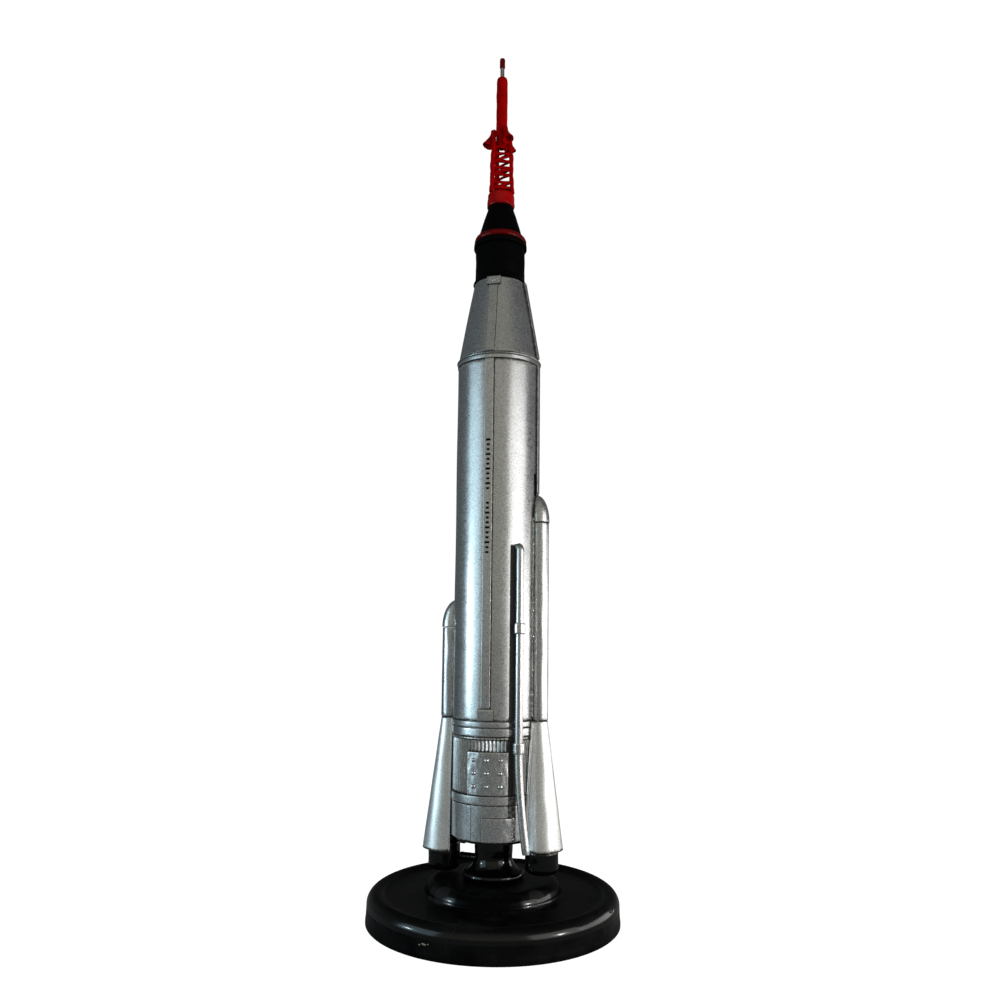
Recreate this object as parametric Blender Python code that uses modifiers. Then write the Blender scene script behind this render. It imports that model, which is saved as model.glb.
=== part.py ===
"""Metal display model of a capsule launch rocket that lifts off a round stand.

Frame: metres, +Z up, origin at the middle of the stand's underside. The front faces -Y.
An azimuth is measured in degrees from the front (-Y) towards the right-hand side (+X).
Every piece is its own object. Pieces that touch keep a clearance of GAP.
"""
import math

import bmesh
import bpy
from mathutils import Matrix, Vector

MM = 0.001
GAP = 0.3 * MM                     # clearance between two pieces that touch
MERGE = 0.00001                    # merge distance of turned shapes

# Facets of round pieces, by size
LARGE = 48
MEDIUM = 28
SMALL = 16
TINY = 10

# Stand
BASE_RADIUS = 70.0 * MM
BASE_RIM_HEIGHT = 17.3 * MM        # highest line of the rolled rim
BASE_RIM_ROUND = 6.2 * MM          # outer rounding of the rim
BASE_DISH_DEPTH = 2.2 * MM         # how far the top dips inside the rim
BASE_TAPER = 0.5 * MM              # how far the side draws in above its foot
BASE_FOOT_HEIGHT = 3.0 * MM
HUB_RADIUS = 37.5 * MM
HUB_TOP = 23.0 * MM
HUB_ROUND = 6.5 * MM
HUB_FOOT = 2.5 * MM                # fillet between hub and dish
PAD_INSET = 4.0 * MM
PAD_THICKNESS = 1.5 * MM
PAD_STAND_OFF = 0.5 * MM           # the pad keeps the base this far off the table
POCKET_RADIUS = 9.0 * MM           # room for the nut under the base
POCKET_DEPTH = 9.0 * MM

# Spigot that the rocket stands on
SPIGOT_RADIUS = 4.0 * MM
SPIGOT_REACH = 42.0 * MM           # above the top of the hub
SPIGOT_COLLAR_RADIUS = 7.5 * MM
SPIGOT_COLLAR_HEIGHT = 1.6 * MM
SPIGOT_CHAMFER = 1.2 * MM
NUT_ACROSS_CORNERS = 14.0 * MM
NUT_HEIGHT = 4.5 * MM
SOCKET_CLEARANCE = 0.45 * MM       # sliding fit of the socket over the spigot
SOCKET_WALL = 1.2 * MM
SOCKET_HEAD = 6.0 * MM             # socket beyond the end of the spigot
SOCKET_PLAY = 1.0 * MM             # end of the spigot below the socket's ceiling

# Engines
BELL_LENGTH = 21.1 * MM            # sustainer bell, hub to engine plate
BELL_NECK_RADIUS = 11.4 * MM
BELL_BULB_RADIUS = 11.9 * MM
BELL_MOUTH_RADIUS = 17.4 * MM
BELL_LIP = 2.0 * MM                # radius of the ring at the mouth
BELL_WALL = 1.2 * MM
PLATE_THICKNESS = 1.4 * MM
PLATE_INSET = 2.3 * MM             # edge of the plate inside the skirt's outside
BOOSTER_RADIUS = 9.15 * MM
BOOSTER_ROUND = 3.0 * MM
LEFT_BOOSTER_LIFT = 1.6 * MM       # left booster mouth above the hub
RIGHT_BOOSTER_LIFT = 5.0 * MM      # right booster mouth above the hub
BOOSTER_WALL = 1.2 * MM
DUCT_RADIUS = 2.3 * MM             # exhaust duct between left booster and sustainer
DUCT_ABOVE_HUB = 7.0 * MM
DUCT_AZIMUTH = -97.0

# Skirt and thrust section
SHELL_WALL = 0.9 * MM
SKIRT_STEP = 0.3 * MM              # skirt inside the tank's radius
SKIRT_HEIGHT = 18.95 * MM
LOWER_PANEL_START = 5.5
LOWER_PANEL_END = 51.0
LOWER_PANEL_HEIGHT = 12.6 * MM
LOWER_PANEL_THICKNESS = 0.5 * MM
BAND_STEP = 0.3 * MM               # band proud of the skirt
BAND_HEIGHT = 4.7 * MM
RIB_STEP = 0.6 * MM                # ribs inside the tank's radius
RIB_DEPTH = 0.5 * MM
RIB_COUNT = 68
RIBBED_HEIGHT = 30.7 * MM
ACCESS_AZIMUTH = 12.0
ACCESS_SPAN = 56.0
ACCESS_HEIGHT = 23.0 * MM
ACCESS_THICKNESS = 0.8 * MM
RIVET_RADIUS = 1.25 * MM
RIVET_RISE = 0.7 * MM
RIVET_ROWS = 3
RIVET_COLUMNS = 3
RIVET_ROW_PITCH = 6.9 * MM
RIVET_COLUMN_PITCH = 17.7          # degrees
RIVET_MARGIN = 4.3 * MM            # top row below the panel's top edge
RING_STEP = 0.2 * MM               # rings proud of the tank
LOWER_RING_HEIGHT = 4.5 * MM
UPPER_RING_HEIGHT = 3.2 * MM
RING_ROUND = 0.4 * MM
SLEEVE_WALL = 0.8 * MM
SLEEVE_OVERLAP = 8.0 * MM          # sleeve above and below the rings

# Tank and taper
TANK_RADIUS = 24.1 * MM
TANK_HEIGHT = 202.3 * MM
LIP_STEP = 0.8 * MM                # lip proud of the tank
LIP_HEIGHT = 3.4 * MM
TAPER_STEP = 0.1 * MM              # foot of the taper inside the tank's radius
TAPER_TOP_RADIUS = 15.3 * MM
TAPER_HEIGHT = 47.9 * MM

# Raceways
RACEWAY_AZIMUTH = 9.0
RACEWAY_WIDTH = 5.0 * MM
RACEWAY_THICKNESS = 0.6 * MM
RACEWAY_BLOCK_WIDTH = 8.8 * MM
RACEWAY_BLOCK_HEIGHT = 6.2 * MM
RACEWAY_BLOCK_THICKNESS = 1.1 * MM
RACEWAY_CLIP_WIDTH = 8.0 * MM
RACEWAY_CLIP_HEIGHT = 5.0 * MM
SIDE_RACEWAY_AZIMUTH = 90.0
SIDE_RACEWAY_WIDTH = 3.4 * MM
SIDE_RACEWAY_THICKNESS = 1.0 * MM

# Pods and their fairings
POD_RADIUS = 5.05 * MM
POD_STAND_OUT = 3.2 * MM           # pod axis outside the tank
SIDE_SHIFT = -1.0 * MM             # both sides' pieces sit this far towards -X
RIGHT_POD_LENGTH = 110.0 * MM
LEFT_POD_LENGTH = 50.8 * MM
POD_NOSE_HEIGHT = 16.3 * MM
POD_NOSE_LIP = 0.25 * MM
FAIRING_TOP_RADIUS = 4.8 * MM
FAIRING_FOOT_RADIUS = 11.7 * MM
FAIRING_SPREAD = 2.0 * MM          # how much farther out the foot's axis is than the pod's
LEFT_FAIRING_DROP = 9.9 * MM       # foot of the left fairing below the skirt
RIGHT_FAIRING_DROP = 5.5 * MM      # foot of the right fairing below the skirt
FAIRING_WALL = 0.6 * MM
FLANGE_WIDTH = 1.8 * MM
FLANGE_FOOT_WIDTH = 0.5 * MM

# Feed tube
FEED_RADIUS = 2.2 * MM
FEED_STAND_OFF = 0.55 * MM         # between the tank and the tube
FEED_AZIMUTH = 50.5
FEED_ABOVE_TANK_FOOT = 97.25 * MM
FEED_BEND_BELOW_TANK = 16.95 * MM  # below this the tube leans outward
FEED_BELOW_SKIRT = 5.1 * MM
FEED_LEAN = 4.65 * MM              # how much farther out the foot's axis is
FEED_FOOT_AZIMUTH = 55.0
CLAMP_WALL = 0.8 * MM
CLAMP_HEIGHT = 6.0 * MM
CLAMP_TAB = 4.2 * MM               # tab beside the tube
UPPER_CLAMP_ABOVE_TANK_FOOT = 50.05 * MM
LOWER_CLAMP_BELOW_RIBS_TOP = 5.45 * MM

# Capsule
NOSE_PLATE_THICKNESS = 1.6 * MM
ADAPTER_STEP = 0.5 * MM            # adapter inside the taper's top
ADAPTER_FOOT_STEP = 1.2 * MM       # foot of the adapter proud of its side
ADAPTER_HEIGHT = 22.2 * MM
ADAPTER_FLARE = 3.6 * MM
CAPSULE_STEP_OUT = 1.1 * MM        # capsule lip proud of the adapter
CAPSULE_LIP_HEIGHT = 2.8 * MM
CAPSULE_RING_HEIGHT = 4.0 * MM
CAPSULE_RING_STEP = 0.2 * MM       # red ring inside the lip
CAPSULE_CONE_STEP = 2.4 * MM       # foot of the cone inside the lip
CAPSULE_TOP_RADIUS = 7.7 * MM
CAPSULE_CONE_HEIGHT = 19.0 * MM
CAPSULE_WALL = 1.0 * MM
COLLAR_STEP = 0.9 * MM             # foot of the collar proud of the cone's top
COLLAR_TAPER = 0.4 * MM
COLLAR_HEIGHT = 8.5 * MM
COLLAR_WALL = 0.9 * MM

# Escape tower
LEG_RADIUS = 1.1 * MM
LEG_INSET = 1.9 * MM               # axis of a leg's foot inside the collar's edge
LEG_HEIGHT = 37.0 * MM
LEG_AZIMUTHS = {"front_leg": -36.0, "right_leg": 97.0, "rear_leg": -133.0}
LACING_RADIUS = 0.45 * MM
LACING_TURNS = 4
LACING_START = 2.0 * MM            # above the feet of the legs
MOTOR_RADIUS = 3.5 * MM
MOTOR_LENGTH = 46.0 * MM
MOTOR_SHOULDER = 2.8 * MM
MOTOR_TOP_RADIUS = 2.6 * MM
MOTOR_FOOT_ABOVE_COLLAR = 30.6 * MM
NOZZLE_AZIMUTHS = {"left_nozzle": -69.0, "right_nozzle": 50.0, "rear_nozzle": 158.0}
NOZZLE_LENGTH = 11.0 * MM
NOZZLE_CANT = 23.0
NOZZLE_THROAT_RADIUS = 1.45 * MM
NOZZLE_LIP_RADIUS = 3.3 * MM
NOZZLE_RIM = 0.5 * MM
NOZZLE_ROOT = 11.3 * MM            # nozzle root above the foot of the motor
TIP_ROD_RADIUS = 1.3 * MM
TIP_ROD_SHOW = 6.2 * MM
TIP_CAP_RADIUS = 1.7 * MM
TIP_CAP_HEIGHT = 6.0 * MM

# Radii, worked out from the tank's
SKIRT_RADIUS = TANK_RADIUS - SKIRT_STEP
BAND_RADIUS = SKIRT_RADIUS + BAND_STEP
RIB_RADIUS = TANK_RADIUS - RIB_STEP
RING_RADIUS = TANK_RADIUS + RING_STEP
LIP_RADIUS = TANK_RADIUS + LIP_STEP
TAPER_FOOT_RADIUS = TANK_RADIUS - TAPER_STEP
PLATE_RADIUS = SKIRT_RADIUS - PLATE_INSET
ADAPTER_RADIUS = TAPER_TOP_RADIUS - ADAPTER_STEP
ADAPTER_FOOT_RADIUS = ADAPTER_RADIUS + ADAPTER_FOOT_STEP
CAPSULE_RADIUS = ADAPTER_RADIUS + CAPSULE_STEP_OUT
CAPSULE_RING_RADIUS = CAPSULE_RADIUS - CAPSULE_RING_STEP
CAPSULE_CONE_RADIUS = CAPSULE_RADIUS - CAPSULE_CONE_STEP
COLLAR_FOOT_RADIUS = CAPSULE_TOP_RADIUS + COLLAR_STEP
COLLAR_TOP_RADIUS = COLLAR_FOOT_RADIUS - COLLAR_TAPER
LEG_FOOT_OFFSET = COLLAR_TOP_RADIUS - LEG_INSET
POD_OFFSET = TANK_RADIUS + POD_STAND_OUT
FAIRING_FOOT_OFFSET = POD_OFFSET + FAIRING_SPREAD
BOOSTER_OFFSET = FAIRING_FOOT_OFFSET

# Levels, worked out from the stand upwards
DISH_LEVEL = BASE_RIM_HEIGHT - BASE_DISH_DEPTH
BELL_MOUTH = HUB_TOP + GAP
PLATE_BOTTOM = BELL_MOUTH + BELL_LENGTH + GAP
PLATE_TOP = PLATE_BOTTOM + PLATE_THICKNESS
SKIRT_BOTTOM = PLATE_TOP + GAP
SKIRT_TOP = SKIRT_BOTTOM + SKIRT_HEIGHT
BAND_BOTTOM = SKIRT_TOP + GAP
BAND_TOP = BAND_BOTTOM + BAND_HEIGHT
RIBBED_BOTTOM = BAND_TOP + GAP
RIBBED_TOP = RIBBED_BOTTOM + RIBBED_HEIGHT
LOWER_RING_BOTTOM = RIBBED_TOP + GAP
UPPER_RING_BOTTOM = LOWER_RING_BOTTOM + LOWER_RING_HEIGHT + GAP
UPPER_RING_TOP = UPPER_RING_BOTTOM + UPPER_RING_HEIGHT
TANK_BOTTOM = UPPER_RING_TOP + GAP
TANK_TOP = TANK_BOTTOM + TANK_HEIGHT
LIP_BOTTOM = TANK_TOP + GAP
LIP_TOP = LIP_BOTTOM + LIP_HEIGHT
TAPER_BOTTOM = LIP_TOP + GAP
TAPER_TOP = TAPER_BOTTOM + TAPER_HEIGHT
ADAPTER_BOTTOM = TAPER_TOP + GAP
ADAPTER_TOP = ADAPTER_BOTTOM + ADAPTER_HEIGHT
CAPSULE_BOTTOM = ADAPTER_TOP + GAP
CAPSULE_STEP = CAPSULE_BOTTOM + CAPSULE_LIP_HEIGHT
CAPSULE_CONE_BOTTOM = CAPSULE_STEP + CAPSULE_RING_HEIGHT + GAP
CAPSULE_TOP = CAPSULE_CONE_BOTTOM + CAPSULE_CONE_HEIGHT
COLLAR_BOTTOM = CAPSULE_TOP + GAP
COLLAR_TOP = COLLAR_BOTTOM + COLLAR_HEIGHT
LEG_BOTTOM = COLLAR_TOP + GAP
LEG_TOP = LEG_BOTTOM + LEG_HEIGHT
MOTOR_BOTTOM = COLLAR_TOP + MOTOR_FOOT_ABOVE_COLLAR
MOTOR_TOP = MOTOR_BOTTOM + MOTOR_LENGTH

# Seats, worked out from what lies under each piece
OUTER_SHELL_RADIUS = max(SKIRT_RADIUS, BAND_RADIUS, RIB_RADIUS, RING_RADIUS)
SLEEVE_RADIUS = RIB_RADIUS - RIB_DEPTH - SHELL_WALL - GAP
SOCKET_BORE = SPIGOT_RADIUS + SOCKET_CLEARANCE
FEED_OFFSET = TANK_RADIUS + FEED_STAND_OFF + FEED_RADIUS
FEED_FOOT_OFFSET = FEED_OFFSET + FEED_LEAN
FEED_TOP = TANK_BOTTOM + FEED_ABOVE_TANK_FOOT
FEED_BEND_LEVEL = TANK_BOTTOM - FEED_BEND_BELOW_TANK
FEED_FOOT_LEVEL = SKIRT_BOTTOM - FEED_BELOW_SKIRT
UPPER_CLAMP_LEVEL = TANK_BOTTOM + UPPER_CLAMP_ABOVE_TANK_FOOT
LOWER_CLAMP_LEVEL = RIBBED_TOP - LOWER_CLAMP_BELOW_RIBS_TOP
DUCT_LEVEL = HUB_TOP + DUCT_ABOVE_HUB
LEFT_FAIRING_FOOT = SKIRT_BOTTOM - LEFT_FAIRING_DROP
RIGHT_FAIRING_FOOT = SKIRT_BOTTOM - RIGHT_FAIRING_DROP

# Finishes: colour, roughness, metallic
FINISHES = {
    "silver_paint": ((0.55, 0.56, 0.56), 0.42, 0.85),
    "black_enamel": ((0.008, 0.008, 0.009), 0.18, 0.0),
    "red_enamel": ((0.38, 0.008, 0.010), 0.25, 0.0),
    "bare_steel": ((0.48, 0.48, 0.47), 0.35, 1.0),
    "felt": ((0.03, 0.03, 0.03), 0.95, 0.0),
}


def collection(name):
    """A collection linked to the scene."""
    made = bpy.data.collections.new(name)
    bpy.context.scene.collection.children.link(made)
    return made


def clear_scene():
    """Remove every object that the scene starts with."""
    for obj in list(bpy.data.objects):
        bpy.data.objects.remove(obj, do_unlink=True)


clear_scene()
MODEL = collection("model_rocket")
CUTTERS = collection("cutters")


def dress(obj, finish):
    """Give the object its own material of the named finish."""
    colour, roughness, metallic = FINISHES[finish]
    material = bpy.data.materials.new(obj.name + "_" + finish)
    material.use_nodes = True
    shader = material.node_tree.nodes["Principled BSDF"]
    shader.inputs["Base Color"].default_value = (*colour, 1.0)
    shader.inputs["Roughness"].default_value = roughness
    shader.inputs["Metallic"].default_value = metallic
    material.diffuse_color = (*colour, 1.0)
    obj.data.materials.append(material)


def place(name, data, finish=None):
    """Add an object for the data, to the model or, with no finish, to the cutters."""
    obj = bpy.data.objects.new(name, data)
    if finish is None:
        CUTTERS.objects.link(obj)
        obj.hide_render = True
        obj.display_type = "WIRE"
    else:
        MODEL.objects.link(obj)
        dress(obj, finish)
    return obj


def at(radius, azimuth, level):
    """The point at a radius, an azimuth in degrees and a level."""
    turn = math.radians(azimuth)
    return Vector((radius * math.sin(turn), -radius * math.cos(turn), level))


def arc(centre, radius, start, end, steps):
    """Profile points of an arc, from start to end in degrees, 0 pointing outward."""
    points = []
    for step in range(steps + 1):
        turn = math.radians(start + (end - start) * step / steps)
        points.append((centre[0] + radius * math.cos(turn), centre[1] + radius * math.sin(turn)))
    return points


def turned(name, outline, finish, facets=LARGE, ring=False):
    """A turned piece: its (radius, level) outline runs down the outer side.

    A solid piece starts and ends on the axis. A ring's outline closes on itself.
    """
    mesh = bpy.data.meshes.new(name)
    count = len(outline)
    edges = [(i, i + 1) for i in range(count - 1)]
    if ring:
        edges.append((count - 1, 0))
    mesh.from_pydata([(radius, 0.0, level) for radius, level in outline], edges, [])
    obj = place(name, mesh, finish)
    screw = obj.modifiers.new("Turn", "SCREW")
    screw.axis = "Z"
    screw.angle = math.tau
    screw.steps = facets
    screw.render_steps = facets
    screw.use_merge_vertices = True
    screw.merge_threshold = MERGE
    screw.use_smooth_shade = True
    return obj


def tube(name, radius, wall, bottom, top, finish, facets=LARGE):
    """A plain cylindrical shell."""
    outline = [(radius, top), (radius, bottom), (radius - wall, bottom), (radius - wall, top)]
    return turned(name, outline, finish, facets, ring=True)


def cut(obj, cutter, operation="DIFFERENCE"):
    """Cut the object with a cutter, or join the cutter to it."""
    boolean = obj.modifiers.new(cutter.name, "BOOLEAN")
    boolean.object = cutter
    boolean.operation = operation
    boolean.solver = "EXACT"


def cylinder_cutter(name, radius, bottom, top, facets=LARGE):
    """A solid cylinder about the rocket's axis, used only to cut."""
    return turned(name, [(0.0, top), (radius, top), (radius, bottom), (0.0, bottom)], None, facets)


def curved_plate(name, finish, azimuth, width, levels, radii, thickness, columns=2):
    """A thin plate bent round the axis: a grid laid on a cone, thickened outward.

    Args: azimuth of its middle, width in degrees, (bottom, top) levels and the
    radii of its inner face there.
    """
    bm = bmesh.new()
    bmesh.ops.create_grid(bm, x_segments=columns, y_segments=1, size=0.5)
    for vert in bm.verts:
        across = vert.co.x
        up = vert.co.y + 0.5
        level = levels[0] + (levels[1] - levels[0]) * up
        radius = radii[0] + (radii[1] - radii[0]) * up
        vert.co = at(radius, azimuth + across * width, level)
    mesh = bpy.data.meshes.new(name)
    bm.to_mesh(mesh)
    bm.free()
    obj = place(name, mesh, finish)
    thicken(obj, thickness, 1.0)
    return obj


def thicken(obj, thickness, side):
    """Turn an open surface into a shell, outward for side 1 and inward for -1."""
    solidify = obj.modifiers.new("Thickness", "SOLIDIFY")
    solidify.thickness = thickness
    solidify.offset = side
    solidify.use_even_offset = True


def wire(name, points, radius, finish, resolution=2):
    """A round wire or tube through the points."""
    curve = bpy.data.curves.new(name, "CURVE")
    curve.dimensions = "3D"
    curve.bevel_depth = radius
    curve.bevel_resolution = resolution
    curve.use_fill_caps = True
    spline = curve.splines.new("POLY")
    spline.points.add(len(points) - 1)
    for target, point in zip(spline.points, points):
        target.co = (*point, 1.0)
    return place(name, curve, finish)


def degrees_of(width, radius):
    """The angle in degrees that a width takes on a radius."""
    return math.degrees(width / radius)


# Stand

def make_stand():
    """Turned base with a felt pad, and the spigot bolted through its hub."""
    pad_radius = BASE_RADIUS - BASE_TAPER - PAD_INSET
    bore = SPIGOT_RADIUS + GAP
    pocket_top = PAD_THICKNESS + GAP + POCKET_DEPTH
    recess = pad_radius + GAP
    side = BASE_RADIUS - BASE_TAPER
    foot = BASE_RADIUS
    rim = (side - BASE_RIM_ROUND, BASE_RIM_HEIGHT - BASE_RIM_ROUND)
    dish_edge = rim[0] - BASE_RIM_ROUND
    shoulder = (HUB_RADIUS - HUB_ROUND, HUB_TOP - HUB_ROUND)
    fillet = (HUB_RADIUS + HUB_FOOT, DISH_LEVEL + HUB_FOOT)
    outline = [(bore, HUB_TOP)]
    outline += arc(shoulder, HUB_ROUND, 90, 0, 4)
    outline += arc(fillet, HUB_FOOT, 180, 270, 3)
    outline.append((dish_edge, DISH_LEVEL))
    outline += arc(rim, BASE_RIM_ROUND, 90, 0, 5)
    outline += [(foot, PAD_STAND_OFF + BASE_FOOT_HEIGHT), (foot, PAD_STAND_OFF)]
    outline += [(recess, PAD_STAND_OFF), (recess, PAD_THICKNESS + GAP)]
    outline += [(POCKET_RADIUS, PAD_THICKNESS + GAP), (POCKET_RADIUS, pocket_top), (bore, pocket_top)]
    turned("stand_base", outline, "black_enamel", LARGE, ring=True)
    pad = [(0.0, PAD_THICKNESS), (pad_radius, PAD_THICKNESS), (pad_radius, 0.0), (0.0, 0.0)]
    turned("felt_pad", pad, "felt", LARGE)

    nut_top = pocket_top - GAP
    nut_bottom = nut_top - NUT_HEIGHT
    end = HUB_TOP + SPIGOT_REACH
    collar_bottom = HUB_TOP + GAP
    collar_top = collar_bottom + SPIGOT_COLLAR_HEIGHT
    tip = SPIGOT_RADIUS - SPIGOT_CHAMFER
    spigot = [(0.0, end), (tip, end), (SPIGOT_RADIUS, end - SPIGOT_CHAMFER)]
    spigot += [(SPIGOT_RADIUS, collar_top), (SPIGOT_COLLAR_RADIUS, collar_top)]
    spigot += [(SPIGOT_COLLAR_RADIUS, collar_bottom), (SPIGOT_RADIUS, collar_bottom)]
    spigot += [(SPIGOT_RADIUS, nut_bottom), (0.0, nut_bottom)]
    turned("stand_spigot", spigot, "bare_steel", SMALL)

    corners = NUT_ACROSS_CORNERS / 2.0
    hexagon = [(0.0, nut_top), (corners, nut_top), (corners, nut_bottom), (0.0, nut_bottom)]
    nut = turned("spigot_nut", hexagon, "bare_steel", 6)
    cut(nut, cylinder_cutter("nut_bore", bore, nut_bottom - GAP, nut_top + GAP, SMALL))


# Engines

def make_engines():
    """Sustainer bell, two booster bells, the plate that carries them and the duct."""
    top = PLATE_BOTTOM - GAP
    bulb_level = BELL_MOUTH + 0.5 * BELL_LENGTH
    lip = (BELL_MOUTH_RADIUS - BELL_LIP, BELL_MOUTH + BELL_LIP)
    waist = BELL_MOUTH + 2.0 * BELL_LIP
    outline = [(BELL_NECK_RADIUS, top), (BELL_NECK_RADIUS, bulb_level + 3.0 * BELL_LIP)]
    outline += [(BELL_BULB_RADIUS, bulb_level), (BELL_MOUTH_RADIUS - 2.0 * BELL_LIP, waist + BELL_LIP)]
    outline += arc(lip, BELL_LIP, 90, -90, 5)
    inner = BELL_MOUTH_RADIUS - 2.0 * BELL_LIP - BELL_WALL
    outline += [(inner, BELL_MOUTH), (inner, waist), (BELL_NECK_RADIUS - BELL_WALL, bulb_level)]
    outline.append((BELL_NECK_RADIUS - BELL_WALL, top))
    turned("sustainer_bell", outline, "black_enamel", MEDIUM, ring=True)

    make_booster("left_booster_bell", -1.0, HUB_TOP + LEFT_BOOSTER_LIFT, top)
    make_booster("right_booster_bell", 1.0, HUB_TOP + RIGHT_BOOSTER_LIFT, top)

    disc = [(0.0, PLATE_TOP), (PLATE_RADIUS, PLATE_TOP), (PLATE_RADIUS, PLATE_BOTTOM), (0.0, PLATE_BOTTOM)]
    plate = turned("engine_plate", disc, "black_enamel", MEDIUM)
    for side in (-1.0, 1.0):
        lobe = cylinder_cutter("plate_lobe", BOOSTER_RADIUS, PLATE_BOTTOM, PLATE_TOP, MEDIUM)
        lobe.location.x = side * BOOSTER_OFFSET + SIDE_SHIFT
        cut(plate, lobe, "UNION")
    cut(plate, cylinder_cutter("plate_bore", SOCKET_BORE, PLATE_BOTTOM - GAP, PLATE_TOP + GAP, SMALL))

    start = BOOSTER_OFFSET - SIDE_SHIFT - BOOSTER_RADIUS - GAP
    end = BELL_MOUTH_RADIUS - BELL_LIP + GAP
    points = [at(start, DUCT_AZIMUTH, DUCT_LEVEL), at(end, DUCT_AZIMUTH, DUCT_LEVEL)]
    wire("exhaust_duct", points, DUCT_RADIUS, "black_enamel")

    socket_top = HUB_TOP + SPIGOT_REACH + SOCKET_HEAD
    outer = SOCKET_BORE + SOCKET_WALL
    ceiling = HUB_TOP + SPIGOT_REACH + SOCKET_PLAY
    socket = [(0.0, socket_top), (outer, socket_top), (outer, PLATE_TOP + GAP)]
    socket += [(SOCKET_BORE, PLATE_TOP + GAP), (SOCKET_BORE, ceiling), (0.0, ceiling)]
    turned("spigot_socket", socket, "bare_steel", SMALL)


def make_booster(name, side, mouth, top):
    """One booster bell: a cylinder with a rounded mouth and a shallow bore."""
    land = BOOSTER_RADIUS - BOOSTER_ROUND
    bore = land - BOOSTER_WALL
    depth = mouth + 3.0 * BOOSTER_WALL
    bell = [(0.0, top), (BOOSTER_RADIUS, top)]
    bell += arc((land, mouth + BOOSTER_ROUND), BOOSTER_ROUND, 0, -75, 4)
    bell += [(land, mouth), (bore, mouth), (bore, depth), (0.0, depth)]
    booster = turned(name, bell, "black_enamel", MEDIUM)
    booster.location.x = side * BOOSTER_OFFSET + SIDE_SHIFT


# Thrust section

def make_thrust_section():
    """Skirt, band, ribbed section, rings, and the plates riveted to them."""
    tube("skirt_shell", SKIRT_RADIUS, SHELL_WALL, SKIRT_BOTTOM, SKIRT_TOP, "silver_paint")
    panel_middle = (LOWER_PANEL_START + LOWER_PANEL_END) / 2.0
    seat = SKIRT_RADIUS + GAP
    curved_plate("lower_panel", "silver_paint", panel_middle, LOWER_PANEL_END - LOWER_PANEL_START,
                 (SKIRT_BOTTOM, SKIRT_BOTTOM + LOWER_PANEL_HEIGHT), (seat, seat), LOWER_PANEL_THICKNESS, 8)
    tube("skirt_band", BAND_RADIUS, BAND_RADIUS - SKIRT_RADIUS + SHELL_WALL, BAND_BOTTOM, BAND_TOP, "silver_paint")
    make_ribbed_section()
    seat = RIB_RADIUS + GAP
    bottom = RIBBED_BOTTOM
    curved_plate("access_panel", "silver_paint", ACCESS_AZIMUTH, ACCESS_SPAN,
                 (bottom, bottom + ACCESS_HEIGHT), (seat, seat), ACCESS_THICKNESS, 10)
    make_rivets(RIB_RADIUS + GAP + ACCESS_THICKNESS + GAP, bottom + ACCESS_HEIGHT - RIVET_MARGIN)
    make_ring("lower_ring", LOWER_RING_BOTTOM, LOWER_RING_HEIGHT)
    make_ring("upper_ring", UPPER_RING_BOTTOM, UPPER_RING_HEIGHT)
    tube("joint_sleeve", SLEEVE_RADIUS, SLEEVE_WALL, LOWER_RING_BOTTOM - SLEEVE_OVERLAP,
         TANK_BOTTOM + SLEEVE_OVERLAP, "bare_steel", MEDIUM)


def make_ring(name, bottom, height):
    """One hoop with eased outer edges."""
    top = bottom + height
    inner = SLEEVE_RADIUS + GAP
    ease = min(RING_ROUND, 0.4 * height)
    outline = [(inner, top), (RING_RADIUS - ease, top), (RING_RADIUS, top - ease)]
    outline += [(RING_RADIUS, bottom + ease), (RING_RADIUS - ease, bottom), (inner, bottom)]
    turned(name, outline, "silver_paint", LARGE, ring=True)


def make_ribbed_section():
    """Corrugated shell: a ribbed outline with a round hole, extruded along the axis."""
    curve = bpy.data.curves.new("ribbed_section", "CURVE")
    curve.dimensions = "2D"
    curve.fill_mode = "BOTH"
    curve.extrude = RIBBED_HEIGHT / 2.0
    valley = RIB_RADIUS - RIB_DEPTH
    inner = valley - SHELL_WALL
    outer_points = []
    for rib in range(RIB_COUNT):
        middle = 360.0 * rib / RIB_COUNT
        outer_points.append(at(RIB_RADIUS, middle, 0.0))
        outer_points.append(at(valley, middle + 180.0 / RIB_COUNT, 0.0))
    inner_points = [at(inner, 360.0 * step / LARGE, 0.0) for step in range(LARGE)]
    for points in (outer_points, inner_points):
        spline = curve.splines.new("POLY")
        spline.points.add(len(points) - 1)
        for target, point in zip(spline.points, points):
            target.co = (point.x, point.y, 0.0, 1.0)
        spline.use_cyclic_u = True
    obj = place("ribbed_section", curve, "silver_paint")
    obj.location.z = RIBBED_BOTTOM + RIBBED_HEIGHT / 2.0


def make_rivets(seat, top_row):
    """Domed rivets on the access panel, row by row."""
    dome = [(0.0, RIVET_RISE), (0.6 * RIVET_RADIUS, 0.75 * RIVET_RISE), (RIVET_RADIUS, 0.0), (0.0, 0.0)]
    for row in range(RIVET_ROWS):
        for column in range(RIVET_COLUMNS):
            azimuth = ACCESS_AZIMUTH + (column - (RIVET_COLUMNS - 1) / 2.0) * RIVET_COLUMN_PITCH
            rivet = turned("panel_rivet_%d%d" % (row + 1, column + 1), dome, "silver_paint", TINY)
            rivet.location = at(seat, azimuth, top_row - row * RIVET_ROW_PITCH)
            rivet.rotation_euler = (math.radians(90.0), 0.0, math.radians(azimuth))


# Tank, taper and raceways

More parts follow.
